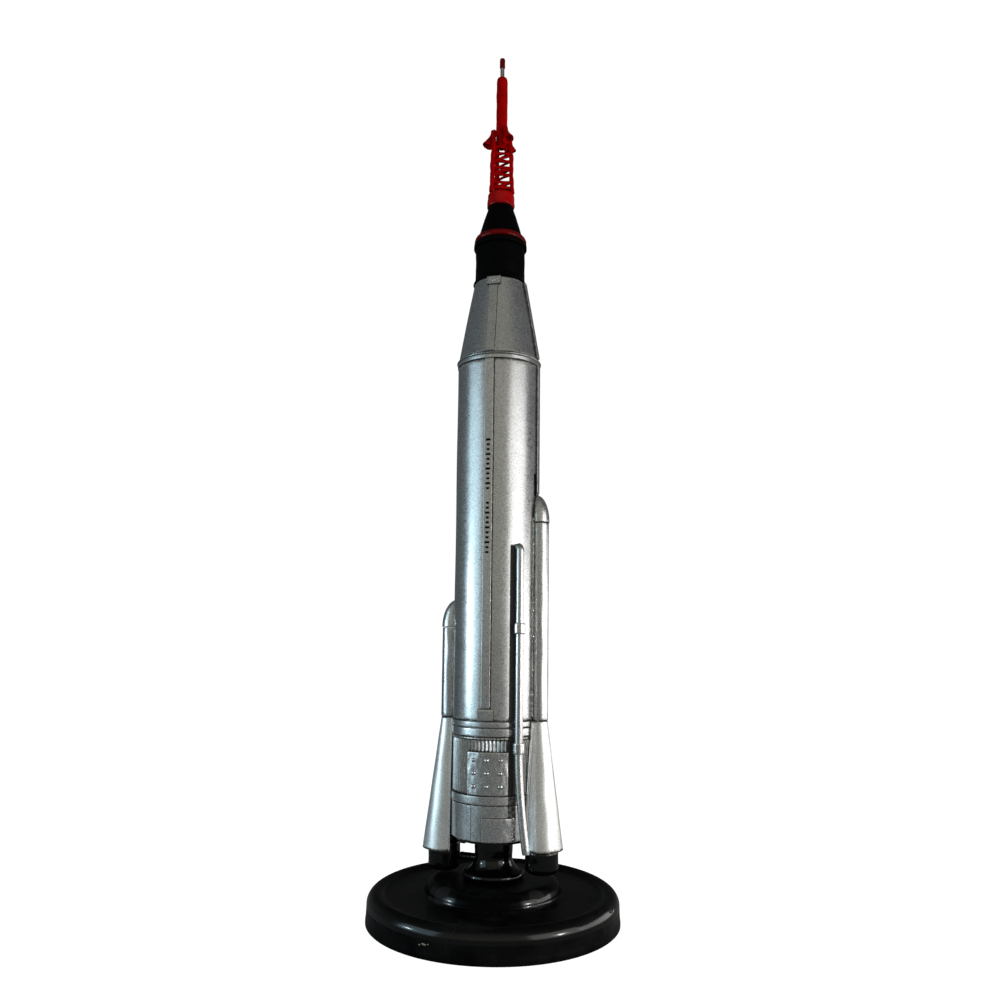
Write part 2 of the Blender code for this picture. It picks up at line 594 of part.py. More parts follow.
def make_tank():
    """Tank tube, rolled lip and tapered nose section."""
    tube("tank_tube", TANK_RADIUS, SHELL_WALL, TANK_BOTTOM, TANK_TOP, "silver_paint")
    inner = TAPER_FOOT_RADIUS - SHELL_WALL
    ease = 0.3 * LIP_HEIGHT
    outline = [(inner, LIP_TOP), (LIP_RADIUS - ease, LIP_TOP), (LIP_RADIUS, LIP_TOP - ease)]
    outline += [(LIP_RADIUS, LIP_BOTTOM + ease), (LIP_RADIUS - ease, LIP_BOTTOM), (inner, LIP_BOTTOM)]
    turned("taper_lip", outline, "silver_paint", LARGE, ring=True)
    cone = [(TAPER_TOP_RADIUS, TAPER_TOP), (TAPER_FOOT_RADIUS, TAPER_BOTTOM)]
    cone += [(TAPER_FOOT_RADIUS - SHELL_WALL, TAPER_BOTTOM), (TAPER_TOP_RADIUS - SHELL_WALL, TAPER_TOP)]
    turned("taper_cone", cone, "silver_paint", LARGE, ring=True)


def taper_radius(level):
    """Outer radius of the tapered section at a level."""
    share = (level - TAPER_BOTTOM) / TAPER_HEIGHT
    return TAPER_FOOT_RADIUS + (TAPER_TOP_RADIUS - TAPER_FOOT_RADIUS) * share


def make_raceways():
    """Cable raceways on the tank and the taper, with the front one's end fittings."""
    block_bottom = TANK_BOTTOM + GAP
    block_top = block_bottom + RACEWAY_BLOCK_HEIGHT
    seat = TANK_RADIUS + GAP
    curved_plate("raceway_foot_block", "silver_paint", RACEWAY_AZIMUTH,
                 degrees_of(RACEWAY_BLOCK_WIDTH, seat), (block_bottom, block_top), (seat, seat),
                 RACEWAY_BLOCK_THICKNESS, 3)
    curved_plate("front_raceway", "silver_paint", RACEWAY_AZIMUTH, degrees_of(RACEWAY_WIDTH, seat),
                 (block_top + GAP, TANK_TOP), (seat, seat), RACEWAY_THICKNESS)
    clip_bottom = TAPER_TOP - RACEWAY_CLIP_HEIGHT
    strip_levels = (TAPER_BOTTOM + GAP, clip_bottom - GAP)
    clip_levels = (clip_bottom, TAPER_TOP)
    taper_plate("front_taper_raceway", RACEWAY_AZIMUTH, RACEWAY_WIDTH, strip_levels, RACEWAY_THICKNESS)
    taper_plate("raceway_top_clip", RACEWAY_AZIMUTH, RACEWAY_CLIP_WIDTH, clip_levels, RACEWAY_BLOCK_THICKNESS)
    side_bottom = TANK_BOTTOM + RIGHT_POD_LENGTH + POD_NOSE_HEIGHT + 3.0 * GAP
    curved_plate("side_raceway", "silver_paint", SIDE_RACEWAY_AZIMUTH, degrees_of(SIDE_RACEWAY_WIDTH, seat),
                 (side_bottom, TANK_TOP), (seat, seat), SIDE_RACEWAY_THICKNESS)
    side_levels = (TAPER_BOTTOM + GAP, TAPER_TOP)
    taper_plate("side_taper_raceway", SIDE_RACEWAY_AZIMUTH, SIDE_RACEWAY_WIDTH, side_levels,
                SIDE_RACEWAY_THICKNESS)


def taper_plate(name, azimuth, width, levels, thickness):
    """A strip of constant width that lies along the taper: a flat plate leaning inward."""
    radii = [taper_radius(level) + GAP for level in levels]
    bm = bmesh.new()
    bmesh.ops.create_grid(bm, x_segments=2, y_segments=1, size=0.5)
    for vert in bm.verts:
        end = 0 if vert.co.y < 0.0 else 1
        turn = azimuth + vert.co.x * degrees_of(width, radii[end])
        vert.co = at(radii[end], turn, levels[end])
    mesh = bpy.data.meshes.new(name)
    bm.to_mesh(mesh)
    bm.free()
    thicken(place(name, mesh, "silver_paint"), thickness, 1.0)


# Pods, fairings and the feed tube

def make_pods():
    """Equipment pods on both sides, cut to lie against the tank, with swept noses."""
    cutter = cylinder_cutter("tank_clearance", TANK_RADIUS + GAP, TANK_BOTTOM - GAP, TANK_TOP)
    for side_name, side, length in (("left", -1.0, LEFT_POD_LENGTH), ("right", 1.0, RIGHT_POD_LENGTH)):
        top = TANK_BOTTOM + length
        barrel = [(0.0, top), (POD_RADIUS, top), (POD_RADIUS, TANK_BOTTOM), (0.0, TANK_BOTTOM)]
        pod = turned(side_name + "_pod", barrel, "silver_paint", SMALL)
        pod.location.x = side * POD_OFFSET + SIDE_SHIFT
        cut(pod, cutter)
        cut(make_nose(side_name + "_pod_nose", side, top + GAP), cutter)


def make_nose(name, side, foot):
    """Swept nose cap: a half ball stretched upward whose middle moves towards the tank.

    At each level its centre has gone as far towards the tank as its radius has shrunk.
    """
    bm = bmesh.new()
    bmesh.ops.create_uvsphere(bm, u_segments=SMALL, v_segments=TINY + 2, radius=1.0)
    bmesh.ops.bisect_plane(bm, geom=bm.verts[:] + bm.edges[:] + bm.faces[:], dist=MERGE,
                           plane_co=(0.0, 0.0, 0.0), plane_no=(0.0, 0.0, -1.0), clear_outer=True)
    rim = [edge for edge in bm.edges if edge.is_boundary]
    bmesh.ops.contextual_create(bm, geom=rim)
    radius = POD_RADIUS + POD_NOSE_LIP
    outer = POD_OFFSET + side * SIDE_SHIFT
    for vert in bm.verts:
        swell = math.sqrt(max(0.0, 1.0 - vert.co.z ** 2))
        centre = TANK_RADIUS + (outer - TANK_RADIUS) * swell
        vert.co = Vector((side * centre + radius * vert.co.x, radius * vert.co.y,
                          foot + POD_NOSE_HEIGHT * vert.co.z))
    mesh = bpy.data.meshes.new(name)
    bm.to_mesh(mesh)
    bm.free()
    mesh.shade_smooth()
    mesh.set_sharp_from_angle(angle=math.radians(40.0))
    return place(name, mesh, "silver_paint")


def make_fairing(name, side, foot):
    """Flared half-cone shell over one booster, with a narrow flange along each edge.

    Across, the outline is an arc about a centre outside the skirt and then a strip
    that follows the skirt. Down, the arc's radius and centre grow evenly.
    """
    seat = OUTER_SHELL_RADIUS + GAP + FAIRING_WALL
    top = UPPER_RING_TOP
    arc_columns = 12
    columns = arc_columns + 2
    rows = 6
    bm = bmesh.new()
    bmesh.ops.create_grid(bm, x_segments=columns, y_segments=rows, size=0.5)
    for vert in bm.verts:
        column = round((vert.co.x + 0.5) * columns)
        down = 0.5 - vert.co.y
        level = top + (foot - top) * down
        radius = FAIRING_TOP_RADIUS + (FAIRING_FOOT_RADIUS - FAIRING_TOP_RADIUS) * down
        centre = POD_OFFSET + (FAIRING_FOOT_OFFSET - POD_OFFSET) * down + side * SIDE_SHIFT
        reach = (seat ** 2 - centre ** 2 - radius ** 2) / (2.0 * centre * radius)
        limit = math.acos(max(-1.0, reach))
        share = min(max((column - 1) / arc_columns, 0.0), 1.0)
        turn = limit * (2.0 * share - 1.0)
        outward = centre + radius * math.cos(turn)
        across = radius * math.sin(turn)
        if column in (0, columns):
            width = FLANGE_WIDTH + (FLANGE_FOOT_WIDTH - FLANGE_WIDTH) * down
            edge = math.atan2(across, outward) + math.copysign(width / seat, across)
            outward = seat * math.cos(edge)
            across = seat * math.sin(edge)
        vert.co = Vector((side * outward, side * across, level))
    mesh = bpy.data.meshes.new(name)
    bm.to_mesh(mesh)
    bm.free()
    thicken(place(name, mesh, "silver_paint"), FAIRING_WALL, -1.0)


def feed_route():
    """Points of the feed tube: out of the tank, round an elbow, down, then outward."""
    start = TANK_RADIUS + 2.0 * GAP
    bend = FEED_OFFSET - start
    centre_level = FEED_TOP - FEED_RADIUS
    points = [at(TANK_RADIUS + GAP, FEED_AZIMUTH, centre_level)]
    for step in range(5):
        turn = math.radians(90.0 * step / 4.0)
        level = centre_level - bend * (1.0 - math.cos(turn))
        points.append(at(start + bend * math.sin(turn), FEED_AZIMUTH, level))
    points.append(at(FEED_OFFSET, FEED_AZIMUTH, FEED_BEND_LEVEL))
    steps = 7
    for step in range(1, steps + 1):
        share = step / steps
        lean = share ** 1.6
        offset = FEED_OFFSET + (FEED_FOOT_OFFSET - FEED_OFFSET) * lean
        azimuth = FEED_AZIMUTH + (FEED_FOOT_AZIMUTH - FEED_AZIMUTH) * lean
        points.append(at(offset, azimuth, FEED_BEND_LEVEL + (FEED_FOOT_LEVEL - FEED_BEND_LEVEL) * share))
    return points


def make_feed_tube():
    """Feed tube on the front right, and the two clamps that hold it."""
    wire("feed_tube", feed_route(), FEED_RADIUS, "silver_paint")
    make_clamp("upper_clamp", UPPER_CLAMP_LEVEL, TANK_RADIUS + GAP)
    make_clamp("lower_clamp", LOWER_CLAMP_LEVEL, RIB_RADIUS + GAP)


def make_clamp(name, level, seat):
    """A strap round the feed tube with a tab that lies on the body beside it."""
    bottom = level - CLAMP_HEIGHT / 2.0
    top = level + CLAMP_HEIGHT / 2.0
    outer = FEED_RADIUS + GAP + CLAMP_WALL
    strap = [(0.0, top), (outer, top), (outer, bottom), (0.0, bottom)]
    clamp = turned(name, strap, "silver_paint", SMALL)
    clamp.location = at(FEED_OFFSET, FEED_AZIMUTH, 0.0)
    tab_azimuth = FEED_AZIMUTH + degrees_of(CLAMP_TAB, seat)
    tab = curved_plate(name + "_tab", None, (FEED_AZIMUTH + tab_azimuth) / 2.0, tab_azimuth - FEED_AZIMUTH,
                       (bottom, top), (seat, seat), CLAMP_WALL)
    cut(clamp, tab, "UNION")
    bore = cylinder_cutter(name + "_bore", FEED_RADIUS + GAP, bottom - GAP, top + GAP, SMALL)
    bore.location = clamp.location
    cut(clamp, bore)
    cut(clamp, cylinder_cutter(name + "_seat", seat, bottom - GAP, top + GAP))


# Capsule and escape tower

def make_capsule():
    """Plate in the taper's top, adapter, capsule with its red ring, and the collar."""
    plate_top = TAPER_TOP
    plate_bottom = plate_top - NOSE_PLATE_THICKNESS
    plate_radius = TAPER_TOP_RADIUS - SHELL_WALL - GAP
    disc = [(0.0, plate_top), (plate_radius, plate_top), (plate_radius, plate_bottom), (0.0, plate_bottom)]
    turned("nose_plate", disc, "bare_steel", MEDIUM)

    inner = ADAPTER_RADIUS - CAPSULE_WALL
    adapter = [(0.0, ADAPTER_TOP), (ADAPTER_RADIUS, ADAPTER_TOP)]
    adapter += [(ADAPTER_RADIUS, ADAPTER_BOTTOM + ADAPTER_FLARE), (ADAPTER_FOOT_RADIUS, ADAPTER_BOTTOM + GAP)]
    adapter += [(ADAPTER_FOOT_RADIUS, ADAPTER_BOTTOM), (inner, ADAPTER_BOTTOM)]
    adapter += [(inner, ADAPTER_TOP - CAPSULE_WALL), (0.0, ADAPTER_TOP - CAPSULE_WALL)]
    turned("capsule_adapter", adapter, "black_enamel", MEDIUM)

    ring_inner = CAPSULE_CONE_RADIUS + GAP
    capsule = [(0.0, CAPSULE_TOP), (CAPSULE_TOP_RADIUS, CAPSULE_TOP)]
    capsule += [(CAPSULE_CONE_RADIUS, CAPSULE_CONE_BOTTOM), (CAPSULE_CONE_RADIUS, CAPSULE_STEP)]
    capsule += [(CAPSULE_RADIUS, CAPSULE_STEP), (CAPSULE_RADIUS, CAPSULE_BOTTOM)]
    capsule += [(CAPSULE_CONE_RADIUS - CAPSULE_WALL, CAPSULE_BOTTOM)]
    capsule += [(CAPSULE_CONE_RADIUS - CAPSULE_WALL, CAPSULE_CONE_BOTTOM)]
    capsule += [(CAPSULE_TOP_RADIUS - CAPSULE_WALL, CAPSULE_TOP - CAPSULE_WALL), (0.0, CAPSULE_TOP - CAPSULE_WALL)]
    turned("capsule_body", capsule, "black_enamel", MEDIUM)

    low = CAPSULE_STEP + GAP
    high = low + CAPSULE_RING_HEIGHT - GAP
    ease = 0.3 * CAPSULE_RING_HEIGHT
    ring = [(ring_inner, high), (CAPSULE_RING_RADIUS - ease, high), (CAPSULE_RING_RADIUS, high - ease)]
    ring += [(CAPSULE_RING_RADIUS, low + ease), (CAPSULE_RING_RADIUS - ease, low), (ring_inner, low)]
    turned("capsule_ring", ring, "red_enamel", MEDIUM, ring=True)

    inner = COLLAR_TOP_RADIUS - COLLAR_WALL
    collar = [(0.0, COLLAR_TOP), (COLLAR_TOP_RADIUS, COLLAR_TOP), (COLLAR_FOOT_RADIUS, COLLAR_BOTTOM)]
    collar += [(inner, COLLAR_BOTTOM), (inner, COLLAR_TOP - COLLAR_WALL), (0.0, COLLAR_TOP - COLLAR_WALL)]
    turned("tower_collar", collar, "red_enamel", MEDIUM)


def make_tower():
    """Three leaning legs laced with wire, the motor they carry, and its nozzles and tip."""
    head = MOTOR_RADIUS + GAP + LEG_RADIUS
    for name, azimuth in LEG_AZIMUTHS.items():
        points = [at(LEG_FOOT_OFFSET, azimuth, LEG_BOTTOM), at(head, azimuth, LEG_TOP)]
        wire("tower_" + name, points, LEG_RADIUS, "red_enamel", 1)
    reach = LEG_RADIUS + GAP + LACING_RADIUS
    lacing_rise = MOTOR_BOTTOM - LEG_BOTTOM - 2.0 * LACING_START
    points = []
    per_turn = 9
    count = LACING_TURNS * per_turn
    first = LEG_AZIMUTHS["front_leg"]
    for step in range(count + 1):
        share = step / count
        level = LEG_BOTTOM + LACING_START + lacing_rise * share
        lean = (level - LEG_BOTTOM) / LEG_HEIGHT
        leg_offset = LEG_FOOT_OFFSET + (head - LEG_FOOT_OFFSET) * lean
        points.append(at(leg_offset + reach, first + 360.0 * LACING_TURNS * share, level))
    wire("tower_lacing", points, LACING_RADIUS, "red_enamel", 1)

    shoulder = MOTOR_TOP - MOTOR_SHOULDER
    bore = TIP_ROD_RADIUS + GAP
    depth = MOTOR_TOP - 3.0 * MOTOR_SHOULDER
    motor = [(bore, MOTOR_TOP), (MOTOR_TOP_RADIUS, MOTOR_TOP), (MOTOR_RADIUS, shoulder)]
    motor += [(MOTOR_RADIUS, MOTOR_BOTTOM), (0.0, MOTOR_BOTTOM), (0.0, depth), (bore, depth)]
    turned("escape_motor", motor, "red_enamel", SMALL, ring=True)
    rod_bottom = depth + GAP
    rod_top = MOTOR_TOP + TIP_ROD_SHOW
    rod = [(0.0, rod_top), (TIP_ROD_RADIUS, rod_top), (TIP_ROD_RADIUS, rod_bottom), (0.0, rod_bottom)]
    turned("tip_rod", rod, "bare_steel", TINY)
    cap_bottom = rod_top + GAP
    cap_top = cap_bottom + TIP_CAP_HEIGHT
    cap = [(0.0, cap_top), (0.8 * TIP_CAP_RADIUS, cap_top), (TIP_CAP_RADIUS, cap_top - 0.3 * TIP_CAP_RADIUS)]
    cap += [(TIP_CAP_RADIUS, cap_bottom), (0.0, cap_bottom)]
    turned("tip_cap", cap, "red_enamel", TINY)
    make_nozzles()


def make_nozzles():
    """Three canted nozzles round the foot of the motor, clear of its wall."""
    length = NOZZLE_LENGTH
    outline = [(0.0, 0.0), (NOZZLE_THROAT_RADIUS, 0.0), (NOZZLE_THROAT_RADIUS, -0.5 * length)]
    outline += [(NOZZLE_LIP_RADIUS, -0.92 * length), (NOZZLE_LIP_RADIUS, -length)]
    outline += [(NOZZLE_LIP_RADIUS - NOZZLE_RIM, -length), (0.7 * NOZZLE_THROAT_RADIUS, -0.6 * length)]
    outline.append((0.0, -0.6 * length))
    level = MOTOR_BOTTOM + NOZZLE_ROOT
    offset = MOTOR_RADIUS + 0.6 * NOZZLE_THROAT_RADIUS
    clearance = cylinder_cutter("motor_clearance", MOTOR_RADIUS + GAP, MOTOR_BOTTOM - GAP, MOTOR_TOP, SMALL)
    for name, azimuth in NOZZLE_AZIMUTHS.items():
        nozzle = turned(name, outline, "red_enamel", SMALL)
        turn = Matrix.Rotation(math.radians(azimuth), 4, "Z")
        cant = Matrix.Rotation(math.radians(-NOZZLE_CANT), 4, "X")
        nozzle.matrix_world = Matrix.Translation(at(offset, azimuth, level)) @ turn @ cant
        cut(nozzle, clearance)


make_stand()
make_engines()
make_thrust_section()
make_tank()
make_raceways()
make_pods()
make_fairing("left_fairing", -1.0, LEFT_FAIRING_FOOT)
make_fairing("right_fairing", 1.0, RIGHT_FAIRING_FOOT)
make_feed_tube()
make_capsule()
make_tower()
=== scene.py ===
"""Looks of a hand-made metal display model: a capsule launch rocket on a round black stand.

Everything is in metres, +Z up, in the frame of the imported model. The front faces -Y, and an
azimuth is measured in degrees from the front towards +X. New pieces are surfaces worked out
with numpy; each one rides on the stand or on the rocket and takes a finish of the record.
"""
import logging
import math
from dataclasses import dataclass, field
from enum import Enum
from typing import Callable, Optional, Sequence, Union

import bmesh
import bpy
import numpy as np
from mathutils import Matrix, Vector


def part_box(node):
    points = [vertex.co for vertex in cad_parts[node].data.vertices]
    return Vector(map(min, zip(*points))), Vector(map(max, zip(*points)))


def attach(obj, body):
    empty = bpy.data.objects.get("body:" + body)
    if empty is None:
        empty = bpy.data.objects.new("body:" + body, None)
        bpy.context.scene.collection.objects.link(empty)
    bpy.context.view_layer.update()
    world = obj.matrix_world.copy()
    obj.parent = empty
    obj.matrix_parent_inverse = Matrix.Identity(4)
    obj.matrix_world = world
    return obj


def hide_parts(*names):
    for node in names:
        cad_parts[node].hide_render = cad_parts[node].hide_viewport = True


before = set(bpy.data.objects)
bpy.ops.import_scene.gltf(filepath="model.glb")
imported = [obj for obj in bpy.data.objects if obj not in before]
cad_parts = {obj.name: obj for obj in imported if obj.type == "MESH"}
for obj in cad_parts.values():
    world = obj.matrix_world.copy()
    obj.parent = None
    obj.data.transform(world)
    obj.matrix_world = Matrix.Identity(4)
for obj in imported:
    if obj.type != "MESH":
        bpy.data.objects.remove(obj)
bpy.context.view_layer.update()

MM = 0.001
GAP = 0.3 * MM
WELD = 1e-7                # points closer than this are one point
SHARP = math.radians(38.0)  # edges that turn more than this stay crisp
TUBE_SHADOW_AZIMUTHS = (39.5, 52.0)       # azimuths between which the feed tube's shadow is painted
LOG = logging.getLogger("model_rocket")
Array = np.ndarray
Relief = Callable[[Array, Array], Array]


class Body(Enum):
    """The two bodies that pieces ride on."""

    STAND = "stand"
    ROCKET = "rocket"


class Slot(Enum):
    """The record's material slots."""

    SILVER = "silver_paint"
    BLACK = "black_enamel"
    RED = "red_enamel"
    STEEL = "bare_steel"
    FELT = "felt"


# Shader maths

Number = Union[int, float]


class Val:
    """One output socket of a shader tree, with Python's operators as Math nodes."""

    def __init__(self, tree: "Tree", socket: bpy.types.NodeSocket) -> None:
        """Wraps a socket of the tree."""
        self.tree = tree
        self.socket = socket

    def _math(self, operation: str, *values: Union["Val", Number]) -> "Val":
        """A Math node of the operation on the values, in order."""
        return self.tree.node("ShaderNodeMath", {"operation": operation}, dict(enumerate(values)))

    def __add__(self, other: Union["Val", Number]) -> "Val":
        """Sum."""
        return self._math("ADD", self, other)

    def __sub__(self, other: Union["Val", Number]) -> "Val":
        """Difference."""
        return self._math("SUBTRACT", self, other)

    def __rsub__(self, other: Number) -> "Val":
        """Difference from a number."""
        return self._math("SUBTRACT", other, self)

    def __mul__(self, other: Union["Val", Number]) -> "Val":
        """Product."""
        return self._math("MULTIPLY", self, other)

    def __gt__(self, other: Union["Val", Number]) -> "Val":
        """1 where greater."""
        return self._math("GREATER_THAN", self, other)

    def __lt__(self, other: Union["Val", Number]) -> "Val":
        """1 where less."""
        return self._math("LESS_THAN", self, other)

    def larger(self, other: Union["Val", Number]) -> "Val":
        """The larger of two."""
        return self._math("MAXIMUM", self, other)

    def _step(self, low: float, high: float, start: float, end: float) -> "Val":
        """Smooth step from start at low to end at high."""
        return self.tree.node("ShaderNodeMapRange", {"interpolation_type": "SMOOTHSTEP"},
                              {"Value": self, "From Min": low, "From Max": high,
                               "To Min": start, "To Max": end})

    def rise(self, low: float, high: float) -> "Val":
        """Smooth step from 0 at low to 1 at high."""
        return self._step(low, high, 0.0, 1.0)

    def fall(self, low: float, high: float) -> "Val":
        """Smooth step from 1 at low to 0 at high."""
        return self._step(low, high, 1.0, 0.0)


class Tree:
    """A material or world tree that is written as expressions."""

    def __init__(self, owner: Union[bpy.types.Material, bpy.types.World]) -> None:
        """Starts an empty tree on the owner."""
        owner.use_nodes = True
        self.nodes = owner.node_tree.nodes
        self.links = owner.node_tree.links
        self.nodes.clear()

    def node(self, kind: str, settings: Optional[dict] = None, inputs: Optional[dict] = None,
             output: Union[int, str] = 0) -> Val:
        """Adds a node.

        Args:
            kind: the node's type.
            settings: its own settings, set first.
            inputs: values or links by socket name or number.
            output: which output is returned.

        Returns:
            The wrapped output socket.
        """
        node = self.nodes.new(kind)
        for key, value in (settings or {}).items():
            setattr(node, key, value)
        for key, value in (inputs or {}).items():
            target = node.inputs[key]
            if isinstance(value, Val):
                self.links.new(value.socket, target)
            else:
                target.default_value = value
        return Val(self, node.outputs[output])

    def place(self) -> Val:
        """The point in the frame, in metres."""
        return self.node("ShaderNodeTexCoord", output="Object")

    def dirt_and_painted_light(self) -> Val:
        """The piece's own dirt and painted light at the point."""
        return self.node("ShaderNodeAttribute", {"attribute_name": "dirt_and_painted_light"}, output="Fac")

    def axes(self, point: Val) -> tuple[Val, Val, Val]:
        """The three parts of a vector."""
        split = self.node("ShaderNodeSeparateXYZ", inputs={0: point})
        outputs = split.socket.node.outputs
        return Val(self, outputs[0]), Val(self, outputs[1]), Val(self, outputs[2])

    def stretch(self, point: Val, scale: tuple[float, float, float]) -> Val:
        """The point with each part multiplied."""
        return self.node("ShaderNodeVectorMath", {"operation": "MULTIPLY"}, {0: point, 1: scale})

    def noise(self, point: Val, size: float, detail: float = 2.0, roughness: float = 0.5) -> Val:
        """Cloudy noise about 0.5 whose features are as wide as the size in metres."""
        return self.node("ShaderNodeTexNoise", None,
                         {"Vector": point, "Scale": 1.0 / size, "Detail": detail, "Roughness": roughness})

    def cells(self, point: Val, size: float) -> tuple[Val, Val]:
        """Distance to the nearest of scattered points, in cell widths, and the cell's own number."""
        near = self.node("ShaderNodeTexVoronoi", None, {"Vector": point, "Scale": 1.0 / size}, "Distance")
        own = Val(self, near.socket.node.outputs["Color"])
        return near, self.axes(own)[0]

    def specks(self, point: Val, size: float, width: float, share: float) -> Val:
        """Small round marks: where the distance is under the width, in a share of the cells."""
        distance, own = self.cells(point, size)
        return distance.fall(width * 0.55, width) * (own < share)

    def blend(self, share: Union[Val, Number], first: Union[Val, tuple], second: Union[Val, tuple]) -> Val:
        """Colour between the first and the second."""
        one = first if isinstance(first, Val) else (*first, 1.0)
        two = second if isinstance(second, Val) else (*second, 1.0)
        return self.node("ShaderNodeMix", {"data_type": "RGBA"}, {0: share, 6: one, 7: two}, 2)

    def bump(self, height: Val, distance: float, strength: float = 1.0, under: Optional[Val] = None) -> Val:
        """Normal bent by a height in units of the distance."""
        inputs = {"Height": height, "Distance": distance, "Strength": strength}
        if under is not None:
            inputs["Normal"] = under
        return self.node("ShaderNodeBump", None, inputs)

    def surface(self, inputs: dict) -> None:
        """Ends the tree in one Principled shader with these sockets."""
        shader = self.node("ShaderNodeBsdfPrincipled", None, inputs)
        self.node_output(shader)

    def node_output(self, shader: Val) -> None:
        """Links a shader to the material's output."""
        out = self.nodes.new("ShaderNodeOutputMaterial")
        self.links.new(shader.socket, out.inputs["Surface"])


# Finishes

@dataclass(frozen=True)
class SilverPaint:
    """Satin metal-flake paint, darkened by dirt in the seams and by painted shade, with specks and small
    nicks.
    """

    name: str = "silver_flake"
    tone: tuple = (0.650, 0.662, 0.666)
    shade: tuple = (0.430, 0.442, 0.450)
    dirt_and_painted_light: tuple = (0.012, 0.010, 0.008)
    stain_and_shade: tuple = (0.26, 0.175, 0.095)
    roughness: float = 0.30
    metallic: float = 0.93
    darkening_depth: float = 0.9
    lump: float = 0.10 * MM
    slot: Slot = Slot.SILVER

    def make(self) -> bpy.types.Material:
        """Builds the material."""
        material = bpy.data.materials.new(self.name)
        tree = Tree(material)
        point = tree.place()
        cloud = tree.noise(point, 24 * MM, 3.0)
        mottle = tree.noise(point, 2.2 * MM, 3.0, 0.6)
        grain = tree.noise(point, 0.55 * MM, 1.0, 0.6)
        flake, glint = tree.cells(point, 0.34 * MM)
        darkening = tree.dirt_and_painted_light()
        # Darkening from the attribute and mottle: real dirt in the seams, and painted shade beside the feed
        # tube, against the tank, in the rib valleys and under the lip. It turns brown where moderate and near
        # black where heavy.
        dirt_and_shade = (darkening + (mottle - 0.5) * 0.9).rise(0.30, 0.85) * self.darkening_depth
        pits = tree.specks(point, 6.5 * MM, 0.045, 0.16)
        nicks = tree.specks(tree.stretch(point, (1.0, 1.0, 0.45)), 9.0 * MM, 0.034, 0.5)
        tone = (cloud - 0.5) * 0.5 + (mottle - 0.5) * 0.7 + (grain - 0.5) * 5.5 + 0.5
        colour = tree.blend(tone.rise(0.0, 1.0), self.shade, self.tone)
        colour = tree.blend((glint > 0.86) * 0.35, colour, (0.86, 0.87, 0.88))
        colour = tree.blend(pits * 0.65, colour, (0.12, 0.115, 0.11))
        colour = tree.blend(nicks * 0.8, colour, (0.82, 0.81, 0.79))
        colour = tree.blend(dirt_and_shade, colour, tree.blend(dirt_and_shade.rise(0.30, 0.75), self.stain_and_shade, self.dirt_and_painted_light))
        rough = (mottle - 0.5) * 0.16 + (cloud - 0.5) * 0.08 + (grain - 0.5) * 0.12 + self.roughness
        rough = rough + dirt_and_shade * 0.35
        fine = grain * 0.6 + flake * 0.5 - pits * 1.5 + nicks * 1.2
        normal = tree.bump(fine, 0.012 * MM)
        normal = tree.bump(tree.noise(point, 9.0 * MM, 1.0), self.lump, under=normal)
        tree.surface({"Base Color": colour, "Roughness": rough, "Normal": normal,
                      "Metallic": self.metallic - dirt_and_shade * 0.8, "Specular IOR Level": 0.06})
        return material


@dataclass(frozen=True)
class BlackEnamel:
    """Black enamel: glossy on its sides, duller and dusty where it faces up, with small cream chips.

    Where the wash attribute is negative the paint is rubbed dull. Where it is positive a grey
    sheen is painted on, a painted reflection.
    """

    name: str = "black_gloss"
    colour: tuple = (0.0015, 0.0015, 0.0017)
    dust_and_sheen: tuple = (0.016, 0.016, 0.016)
    chip: tuple = (0.50, 0.44, 0.33)
    roughness: float = 0.16
    dust_and_sheen_depth: float = 0.25
    chips: float = 0.05
    ripple: float = 0.05 * MM
    gloss: float = 0.0
    coat_roughness: float = 0.10
    slot: Slot = Slot.BLACK

    def make(self) -> bpy.types.Material:
        """Builds the material."""
        material = bpy.data.materials.new(self.name)
        tree = Tree(material)
        point = tree.place()
        cloud = tree.noise(point, 22 * MM, 4.0, 0.6)
        mottle = tree.noise(point, 1.6 * MM, 3.0, 0.6)
        facing = tree.node("ShaderNodeNewGeometry", output="Normal")
        upward = tree.axes(facing)[2].rise(0.55, 0.98)
        # The attribute with some cloud: where positive it paints a grey sheen in the dust colour, a painted
        # reflection; where negative the paint is rubbed dull and its coat fades. Real dust settles where the
        # paint faces up.
        painted_sheen = tree.dirt_and_painted_light() + (cloud - 0.5) * 0.5
        dust_and_sheen_mask = (cloud + (mottle - 0.5) * 0.5).rise(0.42, 0.80) * upward
        dust_and_sheen_mask = dust_and_sheen_mask.larger(painted_sheen.rise(0.25, 0.85) * 2.4) * self.dust_and_sheen_depth
        bare = tree.specks(point, 7.0 * MM, 0.045, self.chips)
        colour = tree.blend(dust_and_sheen_mask, self.colour, self.dust_and_sheen)
        colour = tree.blend(bare * 0.85, colour, self.chip)
        rough = (mottle - 0.5) * 0.10 + (cloud - 0.5) * 0.10 + self.roughness + dust_and_sheen_mask * 0.3 + bare * 0.4
        normal = tree.bump(mottle * 0.4 - bare * 0.8, 0.008 * MM)
        normal = tree.bump(tree.noise(point, 7.0 * MM, 1.0), self.ripple, under=normal)
        tree.surface({"Base Color": colour, "Roughness": rough, "Normal": normal, "Specular IOR Level": 0.03,
                      "Coat Weight": (upward * -0.97 + 1.0) * (painted_sheen + 1.0).rise(0.55, 0.85) * self.gloss,
                      "Coat Roughness": self.coat_roughness})
        return material


